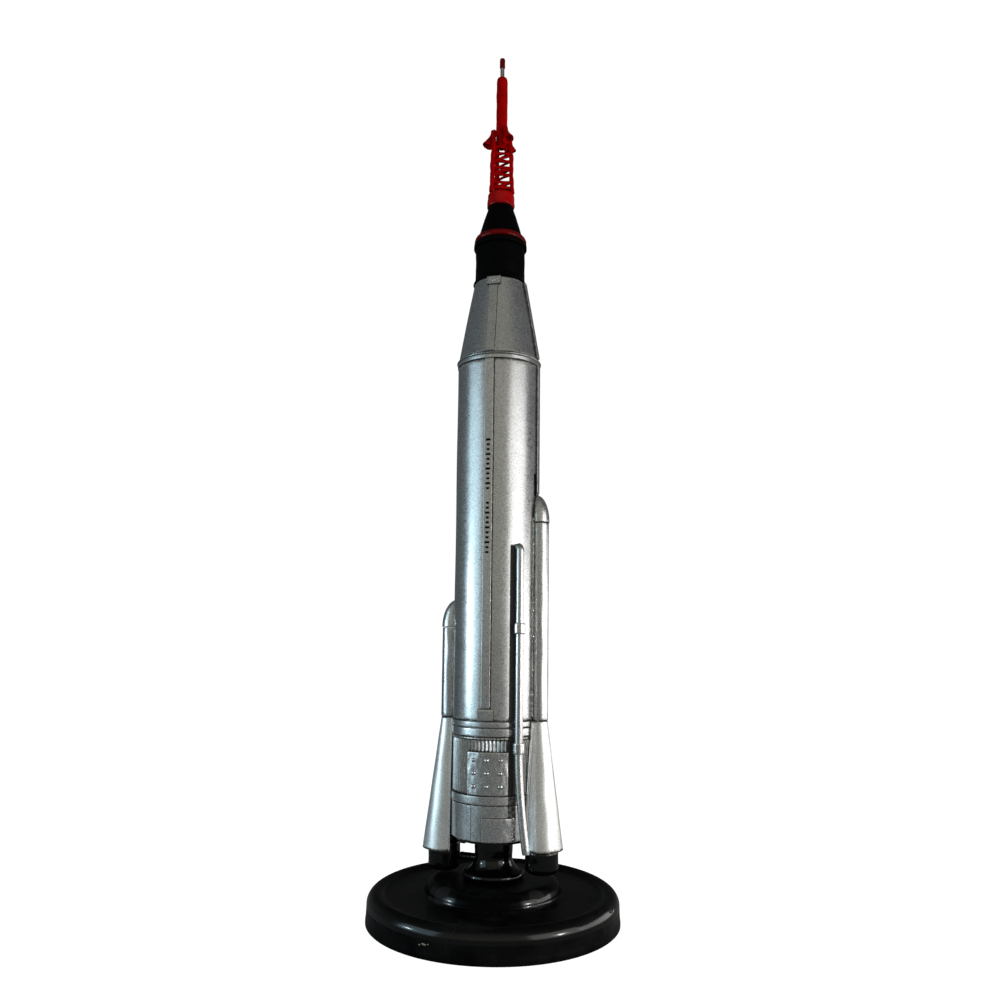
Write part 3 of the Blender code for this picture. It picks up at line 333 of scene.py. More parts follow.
@dataclass(frozen=True)
class RedEnamel:
    """Thick red enamel, darker where it pooled and where dirt lies in the joints."""

    name: str = "red_gloss"
    colour: tuple = (0.42, 0.0006, 0.0012)
    pooled: tuple = (0.060, 0.0002, 0.0004)
    roughness: float = 0.38
    specular: float = 0.02
    gloss: float = 0.0
    ripple: float = 0.03 * MM
    slot: Slot = Slot.RED

    def make(self) -> bpy.types.Material:
        """Builds the material."""
        material = bpy.data.materials.new(self.name)
        tree = Tree(material)
        point = tree.place()
        cloud = tree.noise(point, 4.0 * MM, 3.0, 0.6)
        mottle = tree.noise(point, 0.8 * MM, 3.0, 0.6)
        darkening = tree.dirt_and_painted_light()
        dark = ((cloud - 0.5) * 1.3 + (mottle - 0.5) * 0.5 + darkening * 0.8).rise(-0.05, 0.75)
        specks = tree.specks(point, 2.2 * MM, 0.07, 0.25)
        colour = tree.blend(dark, self.colour, self.pooled)
        colour = tree.blend(specks * 0.7, colour, (0.02, 0.004, 0.004))
        rough = (mottle - 0.5) * 0.14 + self.roughness + darkening * 0.15
        normal = tree.bump(mottle * 0.6 + cloud * 0.8, self.ripple)
        tree.surface({"Base Color": colour, "Roughness": rough, "Normal": normal,
                      "Specular IOR Level": self.specular, "Coat Weight": self.gloss,
                      "Coat Roughness": 0.10})
        return material


@dataclass(frozen=True)
class BareSteel:
    """Turned steel with fine rings across its axis and a little tarnish."""

    name: str = "steel_turned"
    colour: tuple = (0.52, 0.52, 0.51)
    tarnish: tuple = (0.22, 0.20, 0.17)
    roughness: float = 0.30
    slot: Slot = Slot.STEEL

    def make(self) -> bpy.types.Material:
        """Builds the material."""
        material = bpy.data.materials.new(self.name)
        tree = Tree(material)
        point = tree.place()
        rings = tree.noise(tree.stretch(point, (0.02, 0.02, 1.0)), 0.25 * MM, 2.0)
        cloud = tree.noise(point, 3.0 * MM, 3.0, 0.6)
        colour = tree.blend(cloud.rise(0.45, 0.75), self.colour, self.tarnish)
        rough = (rings - 0.5) * 0.2 + (cloud - 0.5) * 0.2 + self.roughness
        tree.surface({"Base Color": colour, "Roughness": rough, "Metallic": 1.0,
                      "Normal": tree.bump(rings, 0.010 * MM)})
        return material


@dataclass(frozen=True)
class Felt:
    """Black needled felt."""

    name: str = "felt_black"
    colour: tuple = (0.020, 0.020, 0.021)
    lint: tuple = (0.070, 0.070, 0.072)
    slot: Slot = Slot.FELT

    def make(self) -> bpy.types.Material:
        """Builds the material."""
        material = bpy.data.materials.new(self.name)
        tree = Tree(material)
        point = tree.place()
        fibre = tree.noise(tree.stretch(point, (1.0, 3.0, 1.0)), 0.5 * MM, 4.0, 0.7)
        tuft = tree.noise(point, 2.4 * MM, 2.0)
        colour = tree.blend((fibre * 0.6 + tuft * 0.4).rise(0.40, 0.70), self.colour, self.lint)
        tree.surface({"Base Color": colour, "Roughness": 0.95 - tuft * 0.1,
                      "Normal": tree.bump(fibre, 0.15 * MM), "Sheen Weight": 0.3})
        return material


Finish = Union[SilverPaint, BlackEnamel, RedEnamel, BareSteel, Felt]


class Paintbox:
    """Makes each finish once and gives it to the pieces."""

    def __init__(self) -> None:
        """Starts empty."""
        self.made: dict[str, bpy.types.Material] = {}

    def get(self, finish: Finish) -> bpy.types.Material:
        """The finish's material, built on first use."""
        if finish.name not in self.made:
            self.made[finish.name] = finish.make()
        return self.made[finish.name]


# Surfaces

@dataclass(frozen=True)
class Span:
    """Where a CAD node lies: its lowest and highest corner."""

    low: Vector
    high: Vector

    @classmethod
    def of(cls, node: str) -> "Span":
        """The span of a node of the frame."""
        return cls(*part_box(node))

    @property
    def bottom(self) -> float:
        """Lowest level."""
        return self.low.z

    @property
    def top(self) -> float:
        """Highest level."""
        return self.high.z

    @property
    def height(self) -> float:
        """Size along Z."""
        return self.high.z - self.low.z

    @property
    def radius(self) -> float:
        """Greatest reach from the axis along X or Y."""
        return max(-self.low.x, self.high.x, -self.low.y, self.high.y)


@dataclass
class Shape:
    """A closed surface as arrays: points (n, 3), quads (m, 4) and the dirt and painted light at each point:
    dirt, painted shade and painted sheen.
    """

    points: Array
    quads: Array
    dirt_and_painted_light: Array

    def __post_init__(self) -> None:
        """Turns the faces outwards: the sum of the corner tetrahedra's volumes has to be positive."""
        a, b, c, d = (self.points[self.quads[:, k]] for k in range(4))
        volume = (a * np.cross(b, c)).sum() + (a * np.cross(c, d)).sum()
        if volume < 0.0:
            self.quads = self.quads[:, ::-1]

    def __add__(self, other: "Shape") -> "Shape":
        """Both shapes in one mesh. They keep their own faces."""
        joined = object.__new__(Shape)
        joined.points = np.concatenate([self.points, other.points])
        joined.quads = np.concatenate([self.quads, other.quads + len(self.points)])
        joined.dirt_and_painted_light = np.concatenate([self.dirt_and_painted_light, other.dirt_and_painted_light])
        return joined

    def moved(self, matrix: Matrix) -> "Shape":
        """The shape carried by a rigid move."""
        turn = np.array(matrix)
        return Shape(self.points @ turn[:3, :3].T + turn[:3, 3], self.quads, self.dirt_and_painted_light)

    def mesh(self, name: str) -> bpy.types.Mesh:
        """A welded smooth mesh with the wash as a point attribute."""
        mesh = bpy.data.meshes.new(name)
        mesh.from_pydata(self.points, [], self.quads)
        mesh.attributes.new("dirt_and_painted_light", "FLOAT", "POINT").data.foreach_set("value", self.dirt_and_painted_light.astype(np.float32))
        bm = bmesh.new()
        bm.from_mesh(mesh)
        bmesh.ops.remove_doubles(bm, verts=bm.verts, dist=WELD)
        bmesh.ops.dissolve_degenerate(bm, edges=bm.edges, dist=WELD)
        bm.to_mesh(mesh)
        bm.free()
        mesh.shade_smooth()
        mesh.set_sharp_from_angle(angle=SHARP)
        return mesh


def cells_of(index: Array, wrap_rows: bool, wrap_columns: bool) -> Array:
    """The four corners of every cell of a grid of point numbers."""
    if wrap_columns:
        index = np.concatenate([index, index[:, :1]], axis=1)
    if wrap_rows:
        index = np.concatenate([index, index[:1]], axis=0)
    corners = (index[:-1, :-1], index[:-1, 1:], index[1:, 1:], index[1:, :-1])
    return np.stack(corners, axis=-1).reshape(-1, 4)


def closed(points: Array, wrap_rows: bool = False, dirt_and_painted_light: Optional[Array] = None) -> Shape:
    """A surface whose columns close on themselves: a ring, or a skin that ends in two poles.

    Args:
        points: grid of points, (rows, columns, 3).
        wrap_rows: whether the last row joins the first.
        dirt_and_painted_light: dirt, painted shade and painted sheen at each point, (rows, columns).

    Returns:
        The shape.
    """
    rows, columns = points.shape[:2]
    index = np.arange(rows * columns).reshape(rows, columns)
    dirt_and_shade = np.zeros((rows, columns)) if dirt_and_painted_light is None else np.broadcast_to(dirt_and_painted_light, (rows, columns))
    return Shape(points.reshape(-1, 3), cells_of(index, wrap_rows, True), dirt_and_shade.reshape(-1))


def slab(outer: Array, inner: Array, dirt_and_painted_light: Optional[Array] = None) -> Shape:
    """A sheet with thickness: two grids of points joined all round their edge."""
    rows, columns = outer.shape[:2]
    count = rows * columns
    index = np.arange(count).reshape(rows, columns)
    edge = np.concatenate([index[0, :], index[1:, -1], index[-1, -2::-1], index[-2:0:-1, 0]])
    rim = np.stack([edge, edge + count])
    quads = [cells_of(index, False, False), cells_of(index, False, False)[:, ::-1] + count,
             cells_of(rim, False, True)[:, ::-1]]
    dirt_and_shade = np.zeros((rows, columns)) if dirt_and_painted_light is None else dirt_and_painted_light
    return Shape(np.concatenate([outer.reshape(-1, 3), inner.reshape(-1, 3)]),
                 np.concatenate(quads), np.concatenate([dirt_and_shade.reshape(-1), dirt_and_shade.reshape(-1)]))


def polar(radius: Array, azimuth: Array, level: Array) -> Array:
    """Points from radius, azimuth in radians and level: (r sin a, -r cos a, z)."""
    radius, azimuth, level = np.broadcast_arrays(radius, azimuth, level)
    return np.stack([radius * np.sin(azimuth), -radius * np.cos(azimuth), level], axis=-1)


def point(radius: float, azimuth: float, level: float) -> Array:
    """One point from radius, azimuth in degrees and level."""
    return polar(np.float64(radius), np.float64(math.radians(azimuth)), np.float64(level))


def arc(centre: Sequence[float], radius: float, start: float, end: float, steps: int = 12) -> Array:
    """Profile points of an arc, from start to end in degrees, 0 pointing outward."""
    turn = np.radians(np.linspace(start, end, steps + 1))
    return np.stack([centre[0] + radius * np.cos(turn), centre[1] + radius * np.sin(turn)], axis=-1)


def profile(*parts: Union[Array, tuple]) -> Array:
    """One outline of (radius, level) points from single points and arrays of points."""
    return np.concatenate([np.atleast_2d(np.asarray(part, float)) for part in parts])


def eased(outline: Array, ease: float, ring: bool = True, steps: int = 4) -> Array:
    """Rounds the corners of an outline.

    Each corner becomes the curve (1-t)^2 A + 2t(1-t) P + t^2 B, where A and B lie at the
    ease, or at 0.45 of the side, before and after the corner P.
    """
    before = np.roll(outline, 1, axis=0) - outline
    after = np.roll(outline, -1, axis=0) - outline
    size_before = np.maximum(np.linalg.norm(before, axis=1, keepdims=True), 1e-12)
    size_after = np.maximum(np.linalg.norm(after, axis=1, keepdims=True), 1e-12)
    start = outline + before / size_before * np.minimum(ease, 0.45 * size_before)
    end = outline + after / size_after * np.minimum(ease, 0.45 * size_after)
    if not ring:
        start[[0, -1]] = outline[[0, -1]]
        end[[0, -1]] = outline[[0, -1]]
    t = np.linspace(0.0, 1.0, steps + 1)[None, :, None]
    curve = (1 - t) ** 2 * start[:, None] + 2 * t * (1 - t) * outline[:, None] + t ** 2 * end[:, None]
    return curve.reshape(-1, 2)


def divided(outline: Array, longest: float, ring: bool = True) -> Array:
    """Adds points along straight sides so that none is longer than the longest allowed."""
    path = np.concatenate([outline, outline[:1]]) if ring else outline
    sides = np.linalg.norm(np.diff(path, axis=0), axis=1)
    counts = np.maximum(1, np.ceil(sides / longest).astype(int))
    starts = np.repeat(np.arange(len(sides)), counts)
    within = np.arange(counts.sum()) - np.repeat(np.cumsum(counts) - counts, counts)
    share = (within / counts[starts])[:, None]
    points = path[starts] * (1 - share) + path[starts + 1] * share
    return points if ring else np.concatenate([points, path[-1:]])


def seam_wash(level: Array, seams: Sequence[float], reach: float) -> Array:
    """Dirt that fades away from seams: the largest of exp(-distance / reach)."""
    if not len(seams):
        return np.zeros_like(level)
    away = np.abs(level[..., None] - np.asarray(seams))
    return np.exp(-away / reach).max(axis=-1)


def turned(outline: Array, segments: int = 192, ring: bool = True, relief: Optional[Relief] = None,
           seams: Sequence[float] = (), reach: float = 0.5 * MM) -> Shape:
    """A turned surface: the outline (radius, level) carried round the axis.

    Args:
        outline: its points; a solid one starts and ends on the axis.
        segments: columns round the axis.
        ring: whether the outline closes on itself.
        relief: what is added to the radius, from azimuth in radians and level.
        seams: levels where dirt lies.
        reach: how far the dirt spreads.

    Returns:
        The shape.
    """
    azimuth = np.linspace(0.0, math.tau, segments, endpoint=False)[None, :]
    radius, level = outline[:, :1], outline[:, 1:]
    if relief is not None:
        radius = radius + relief(azimuth, level) * (radius > WELD)
    return closed(polar(radius, azimuth, level), ring, seam_wash(level, seams, reach))


def round_plate(points: Array, azimuth: float, width: float, levels: Sequence[float],
                reach: float = 0.30 * MM) -> Array:
    """Dirt in the corner round a plate laid on a shell: exp(-(distance / reach)^2) outside its outline."""
    radius = np.hypot(points[..., 0], points[..., 1])
    turn = np.arctan2(points[..., 0], -points[..., 1]) - math.radians(azimuth)
    aside = np.abs(np.angle(np.exp(1j * turn))) * radius - width / 2
    beyond = np.abs(points[..., 2] - (levels[0] + levels[1]) / 2) - (levels[1] - levels[0]) / 2
    return np.exp(-(np.maximum(np.maximum(aside, beyond), 0.0) / reach) ** 2)


def painted_tube_shadow(points: Array, depth: float = 1.15) -> Array:
    """Painted shadow of the feed tube on the shell beside it, between two azimuths and below the tube's
    elbow.
    """
    azimuth = np.degrees(np.arctan2(points[:, 0], -points[:, 1]))
    top = Span.of("feed_tube").top - 0.8 * MM
    near = np.clip((azimuth - TUBE_SHADOW_AZIMUTHS[0]) / 0.8, 0.0, 1.0) * np.clip((TUBE_SHADOW_AZIMUTHS[1] - azimuth) / 1.5, 0.0, 1.0)
    return depth * near * np.clip((top - points[:, 2]) / (1.2 * MM), 0.0, 1.0)


def beaten(depth: float, seed: int, wave: float = 40 * MM) -> Relief:
    """Waviness of hand-formed sheet: a sum of products of sines of azimuth and level."""
    rng = np.random.default_rng(seed)
    turns = np.array([2.0, 3.0, 5.0, 8.0])
    around, along = rng.uniform(0.0, math.tau, (2, 4))
    rates = math.tau / (wave * rng.uniform(0.6, 1.6, 4))

    def relief(azimuth: Array, level: Array) -> Array:
        """Offset of the radius."""
        waves = np.sin(turns * azimuth[..., None] + around) * np.sin(rates * level[..., None] + along)
        return depth * (waves.mean(axis=-1) - 0.5)

    return relief


def swept(path: Array, radii: Union[float, Array], sides: int = 20) -> Shape:
    """A round wire with flat ends: circles of the given radii carried along the path, square to it.

    The frame is the path's direction, its product with a fixed side vector, and their product.
    """
    radii = np.broadcast_to(np.asarray(radii, float), (len(path),)).copy()
    direction = np.gradient(path, axis=0)
    direction /= np.linalg.norm(direction, axis=1, keepdims=True)
    mean = direction.mean(axis=0)
    guide = np.eye(3)[np.argmin(np.abs(mean))]
    side = np.cross(direction, guide)
    side /= np.linalg.norm(side, axis=1, keepdims=True)
    other = np.cross(direction, side)
    path = np.concatenate([path[:1], path, path[-1:]])
    side = np.concatenate([side[:1], side, side[-1:]])
    other = np.concatenate([other[:1], other, other[-1:]])
    radii = np.concatenate([[0.0], radii, [0.0]])
    turn = np.linspace(0.0, math.tau, sides, endpoint=False)[None, :, None]
    ring = side[:, None] * np.cos(turn) + other[:, None] * np.sin(turn)
    return closed(path[:, None] + radii[:, None, None] * ring)


def edge_spacing(count: int) -> Array:
    """Shares from 0 to 1 that lie closer together near both ends: (1 - cos(pi t)) / 2."""
    return 0.5 - 0.5 * np.cos(np.linspace(0.0, math.pi, count))


def pressed(across: Array, along: Array, width: float, length: float, ease: float) -> Array:
    """Height of a pressed plate, 0.25 at its edge rising to 1: a quarter circle in the edge distance."""
    side = np.minimum(across, 1 - across) * width
    end = np.minimum(along, 1 - along) * length
    near = np.clip(np.minimum(side, end) / ease, 0.0, 1.0)
    return 0.25 + 0.75 * np.sqrt(1.0 - (1.0 - near) ** 2)


def bent_plate(azimuth: float, width: float, levels: Sequence[float], radii: Sequence[float],
               thickness: float, ease: float = 0.25 * MM, columns: int = 26, rows: int = 26,
               wave: float = 0.0, seed: int = 1, flat: bool = False) -> Shape:
    """A thin plate lying on a cone about the axis, with pressed edges.

    Args:
        azimuth: of its middle, in degrees.
        width: across, in metres on the inner face.
        levels: of its bottom and top.
        radii: of its inner face there.
        thickness: at its middle.
        ease: rounding of the edge.
        columns: points across.
        rows: points along.
        wave: depth of its unevenness.
        seed: of the unevenness.
        flat: whether its outer face is flat across, at the radius over the cosine of the turn.

    Returns:
        The shape.
    """
    across, along = edge_spacing(columns)[None, :], edge_spacing(rows)[:, None]
    level = levels[0] + (levels[1] - levels[0]) * along
    inner = radii[0] + (radii[1] - radii[0]) * along
    turn = math.radians(azimuth) + (across - 0.5) * width / inner
    rise = thickness * pressed(across, along, width, levels[1] - levels[0], ease)
    rise = rise + beaten(wave, seed, 9 * MM)(turn * 6.0, level + 0.0 * turn)
    dirt_and_shade = np.exp(-np.minimum(np.minimum(across, 1 - across) * width,
                              np.minimum(along, 1 - along) * (levels[1] - levels[0])) / (0.35 * MM))
    outer = (inner + rise) / np.cos(turn - math.radians(azimuth)) if flat else inner + rise
    return slab(polar(outer, turn, level), polar(inner, turn, level), dirt_and_shade * 0.85)


def dome(radius: float, rise: float, sides: int = 18, sink: float = 0.2 * MM) -> Shape:
    """A low round head on the XY plane: height = rise * sqrt(1 - s^2), with a flat back sunk below."""
    share = np.sin(np.linspace(0.0, math.pi / 2, 7))
    outline = np.stack([share * radius, rise * np.sqrt(np.clip(1 - share ** 2, 0, 1))], axis=-1)
    outline = np.concatenate([outline, [[radius, -sink], [0.0, -sink]]])
    return turned(outline, sides, ring=False)


def blob(centre: Array, radii: Sequence[float], seed: int, sides: int = 14) -> Shape:
    """A drop of solder: a ball whose radius is stirred by sines of its two angles."""
    rng = np.random.default_rng(seed)
    polar_angle = np.linspace(0.0, math.pi, 10)[:, None]
    turn = np.linspace(0.0, math.tau, sides, endpoint=False)[None, :]
    phases = rng.uniform(0.0, math.tau, 3)
    stir = 1 + 0.16 * np.sin(2 * turn + phases[0]) * np.sin(polar_angle)
    stir = stir + 0.12 * np.sin(3 * turn + phases[1]) * np.sin(2 * polar_angle)
    stir = stir + 0.05 * np.sin(5 * turn + phases[2]) * np.sin(polar_angle)
    unit = np.stack([np.sin(polar_angle) * np.cos(turn), np.sin(polar_angle) * np.sin(turn),
                     np.cos(polar_angle) + 0.0 * turn], axis=-1)
    return closed(np.asarray(centre) + unit * stir[..., None] * np.asarray(radii))


def facing_out(radius: float, azimuth: float, level: float, tilt: float = 0.0) -> Matrix:
    """Frame at a point of the body whose Z points away from the axis, tilted up by the tilt."""
    place = Matrix.Translation(Vector(point(radius, azimuth, level)))
    return place @ Matrix.Rotation(math.radians(azimuth), 4, "Z") @ Matrix.Rotation(
        math.radians(90.0 - tilt), 4, "X")


def joined(shapes: Sequence[Shape]) -> Shape:
    """All the shapes in one."""
    total = shapes[0]
    for shape in shapes[1:]:
        total = total + shape
    return total


# Pieces on the frame

class Assembly:
    """What every sub-assembly can do with its finishes, on its body: add pieces, dress CAD nodes."""

    paint: Paintbox
    body: Body

    def add(self, name: str, shape: Shape, finish: Finish, *nodes: str) -> bpy.types.Object:
        """Adds a piece.

        Args:
            name: of the piece.
            shape: its surface.
            finish: its finish.
            nodes: CAD nodes that it stands for.

        Returns:
            The object.
        """
        obj = bpy.data.objects.new(name, shape.mesh(name))
        bpy.context.scene.collection.objects.link(obj)
        obj.data.materials.append(self.paint.get(finish))
        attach(obj, self.body.value)
        if nodes:
            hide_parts(*nodes)
        LOG.info("%s: %d faces, %s", name, len(obj.data.polygons), finish.name)
        return obj

    def dress(self, finish: Finish, *nodes: str) -> None:
        """Gives CAD nodes that stay a finish."""
        for node in nodes:
            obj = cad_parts[node]
            material = self.paint.get(finish)
            if obj.material_slots:
                for slot in obj.material_slots:
                    slot.material = material
            else:
                obj.data.materials.append(material)
            LOG.info("%s: dressed in %s", node, finish.name)


SILVER = SilverPaint()
# A brighter copy of the silver for the fairings: painted light, standing in for the bright light on them.
LIT_FAIRING_SILVER = SilverPaint(name="silver_fairing_lit_copy", tone=(0.92, 0.93, 0.93), shade=(0.70, 0.71, 0.715),
                             roughness=0.40, metallic=0.80)
PANEL_SILVER = SilverPaint(name="silver_plate", tone=(0.71, 0.715, 0.71), shade=(0.47, 0.48, 0.485),
                           roughness=0.26, lump=0.16 * MM)
SHADED_SILVER = SilverPaint(name="silver_ribbed", tone=(0.67, 0.675, 0.675), roughness=0.30)
SOLDER = SilverPaint(name="silver_solder", tone=(0.78, 0.78, 0.76), shade=(0.58, 0.57, 0.55),
                     roughness=0.22, lump=0.05 * MM)
BASE_BLACK = BlackEnamel(name="black_base", roughness=0.30, dust_and_sheen_depth=0.7, chips=0.03, gloss=0.75,
                         coat_roughness=0.16)
GLOSS_BLACK = BlackEnamel(name="black_engines", roughness=0.25, dust_and_sheen_depth=0.0, chips=0.03,
                          ripple=0.06 * MM, gloss=0.75)
CAPSULE_BLACK = BlackEnamel(name="black_capsule", roughness=0.45, dust_and_sheen_depth=0.1, chips=0.08)
MARK_BLACK = BlackEnamel(name="black_marks", roughness=0.45, dust_and_sheen_depth=0.0, chips=0.0)
PRIMER = BlackEnamel(name="black_chipped", colour=(0.34, 0.31, 0.26), dust_and_sheen=(0.16, 0.15, 0.13), roughness=0.6,
                     dust_and_sheen_depth=1.0, chips=0.0)
CRACK_BLACK = BlackEnamel(name="black_crack", colour=(0.030, 0.030, 0.030), roughness=0.5, chips=0.0)
TOWER_RED = RedEnamel(name="red_tower")
COLLAR_RED = RedEnamel(name="red_collar", colour=(0.43, 0.0006, 0.0012), roughness=0.28, gloss=0.35)
RING_RED = RedEnamel(name="red_ring", colour=(0.15, 0.0004, 0.0008), roughness=0.28, gloss=0.22)
STEEL = BareSteel()
FELT = Felt()


# Stand

@dataclass
class Stand(Assembly):
    """The turned base with its hub, felt pad, spigot and nut."""

    paint: Paintbox
    body: Body = Body.STAND
    rim_height: float = 17.3 * MM
    rim_round: float = 6.2 * MM
    dish_depth: float = 2.2 * MM
    draw_in: float = 0.5 * MM
    hub_radius: float = 37.5 * MM
    hub_round: float = 6.5 * MM
    hub_foot: float = 2.5 * MM
    bore: float = 4.3 * MM
    # azimuth and width in degrees of the two painted grey sheens, painted reflections, on the hub's shoulder;
    # below, how far they spread
    sheen_places: tuple = ((-27.0, 13.0), (62.0, 12.0))
    sheen_reach: float = 3.6 * MM
    crack_azimuth: float = 5.0
    crack_radius: float = 0.07 * MM
    # azimuth in degrees, then level, width and height in millimetres
    chip_places: tuple = ((-6.5, 7.6, 1.5, 0.45), (-8.6, 7.0, 0.6, 0.35), (-4.6, 7.9, 0.5, 0.3),
                          (27.5, 2.4, 1.1, 0.5), (29.2, 1.4, 0.8, 0.35), (33.0, 1.2, 1.6, 0.25),
                          (-30.0, 2.0, 0.9, 0.3), (86.0, 14.6, 0.8, 0.8))

    def outline(self) -> Array:
        """The base from its bore over hub, dish and rim to the foot, and back underneath."""
        span = Span.of("stand_base")
        pad = Span.of("felt_pad")
        foot, hub_top = span.radius, span.top
        side, dish = foot - self.draw_in, self.rim_height - self.dish_depth
        rim = (side - self.rim_round, self.rim_height - self.rim_round)
        shoulder = (self.hub_radius - self.hub_round, hub_top - self.hub_round)
        fillet = (self.hub_radius + self.hub_foot, dish + self.hub_foot)
        recess, roof = pad.radius + GAP, pad.top + GAP
        return profile((self.bore, hub_top), arc(shoulder, self.hub_round, 90, 0, 20),
                       arc(fillet, self.hub_foot, 180, 270, 8), (rim[0] - 4 * MM, dish),
                       (rim[0] - 1.5 * MM, dish + 0.8 * self.dish_depth),
                       arc(rim, self.rim_round, 78, 0, 22), (side + 0.35 * self.draw_in, 5.0 * MM),
                       (foot, 2.6 * MM), (foot, span.bottom + 0.4 * MM), (foot - 0.4 * MM, span.bottom),
                       (recess, span.bottom), (recess, roof), (9 * MM, roof), (9 * MM, roof + 9 * MM),
                       (self.bore, roof + 9 * MM))

    def build(self) -> None:
        """Adds the base and dresses what it holds."""
        outline = divided(self.outline(), 2.0 * MM)
        base = turned(outline, 320, True, beaten(0.14 * MM, 5, 30 * MM))
        base.dirt_and_painted_light = self.sheen_and_wear(base.points)
        self.add("stand_turned_base", base, BASE_BLACK, "stand_base")
        self.add("stand_crack_line", self.crack(), CRACK_BLACK)
        self.add("stand_paint_chips", self.chips(), PRIMER)
        self.dress(FELT, "felt_pad")
        self.dress(STEEL, "stand_spigot", "spigot_nut")

    def sheen_and_wear(self, points: Array) -> Array:
        """Marks of the base: a painted grey sheen, a painted reflection, on two places of the hub's shoulder,
        dull paint elsewhere.

        Each sheen patch is exp(-(turn / width)^2) exp(-(reach / depth)^2) about the shoulder. The
        rest of the hub is rubbed dull, and so is the side of the base below its rounded rim.
        """
        level = points[:, 2]
        azimuth = np.degrees(np.arctan2(points[:, 0], -points[:, 1]))
        reach = np.hypot(points[:, 0], points[:, 1]) - (self.hub_radius - 2.0 * MM)
        lobes = np.zeros_like(azimuth)
        for middle, width in self.sheen_places:
            lobes = np.maximum(lobes, np.exp(-((azimuth - middle) / width) ** 2))
        dull = (reach < 5.5 * MM) & (level > self.rim_height - self.dish_depth - 0.2 * MM)
        scuffed = level < self.rim_height - self.rim_round - 0.5 * MM
        # painted sheen: the grey reflection lobes on the hub's shoulder
        painted_sheen = lobes * np.exp(-(reach / self.sheen_reach) ** 2)
        return painted_sheen - 0.6 * dull * (1.0 - lobes) - 0.34 * scuffed

    def chips(self) -> Shape:
        """Flat islands of bare primer where the paint has come off the side."""
        side = Span.of("stand_base").radius - self.draw_in
        shapes = []
        for number, (azimuth, level, width, height) in enumerate(self.chip_places):
            flake = blob(np.zeros(3), (width * MM, height * MM, 0.05 * MM), 500 + number, 18)
            shapes.append(flake.moved(facing_out(side + 0.02 * MM, azimuth, level * MM)))
        return joined(shapes)

    def crack(self) -> Shape:
        """A hairline ridge in the paint that runs over the rim and forks on the dish."""
        side = Span.of("stand_base").radius - self.draw_in
        rim = (side - self.rim_round, self.rim_height - self.rim_round)
        over = arc(rim, self.rim_round - 0.02 * MM, 78, 0, 12)
        down = np.array([[side - 0.02 * MM, 8.0 * MM], [side + 0.4 * self.draw_in, 5.4 * MM]])
        trunk = np.concatenate([over, down])
        turn = np.radians(self.crack_azimuth + 1.6 * np.sin(np.linspace(0, 5, len(trunk))))
        inward = np.linspace(0.0, 9.0 * MM, 8)
        lines = [polar(trunk[:, 0], turn, trunk[:, 1])]
        for spread in (-7.0, 6.0):
            fork = np.radians(self.crack_azimuth + spread * np.linspace(0.0, 1.0, 8) ** 0.8)
            radius = rim[0] + 1.4 * MM - inward
            level = np.interp(radius, [rim[0] - 4 * MM, rim[0] - 1.5 * MM, rim[0] + 1.4 * MM],
                              [self.rim_height - self.dish_depth, self.rim_height - 0.2 * self.dish_depth,
                               self.rim_height - 0.16 * MM])
            lines.append(polar(radius, fork, level))
        return joined([swept(line, self.crack_radius, 6) for line in lines])


# Engines

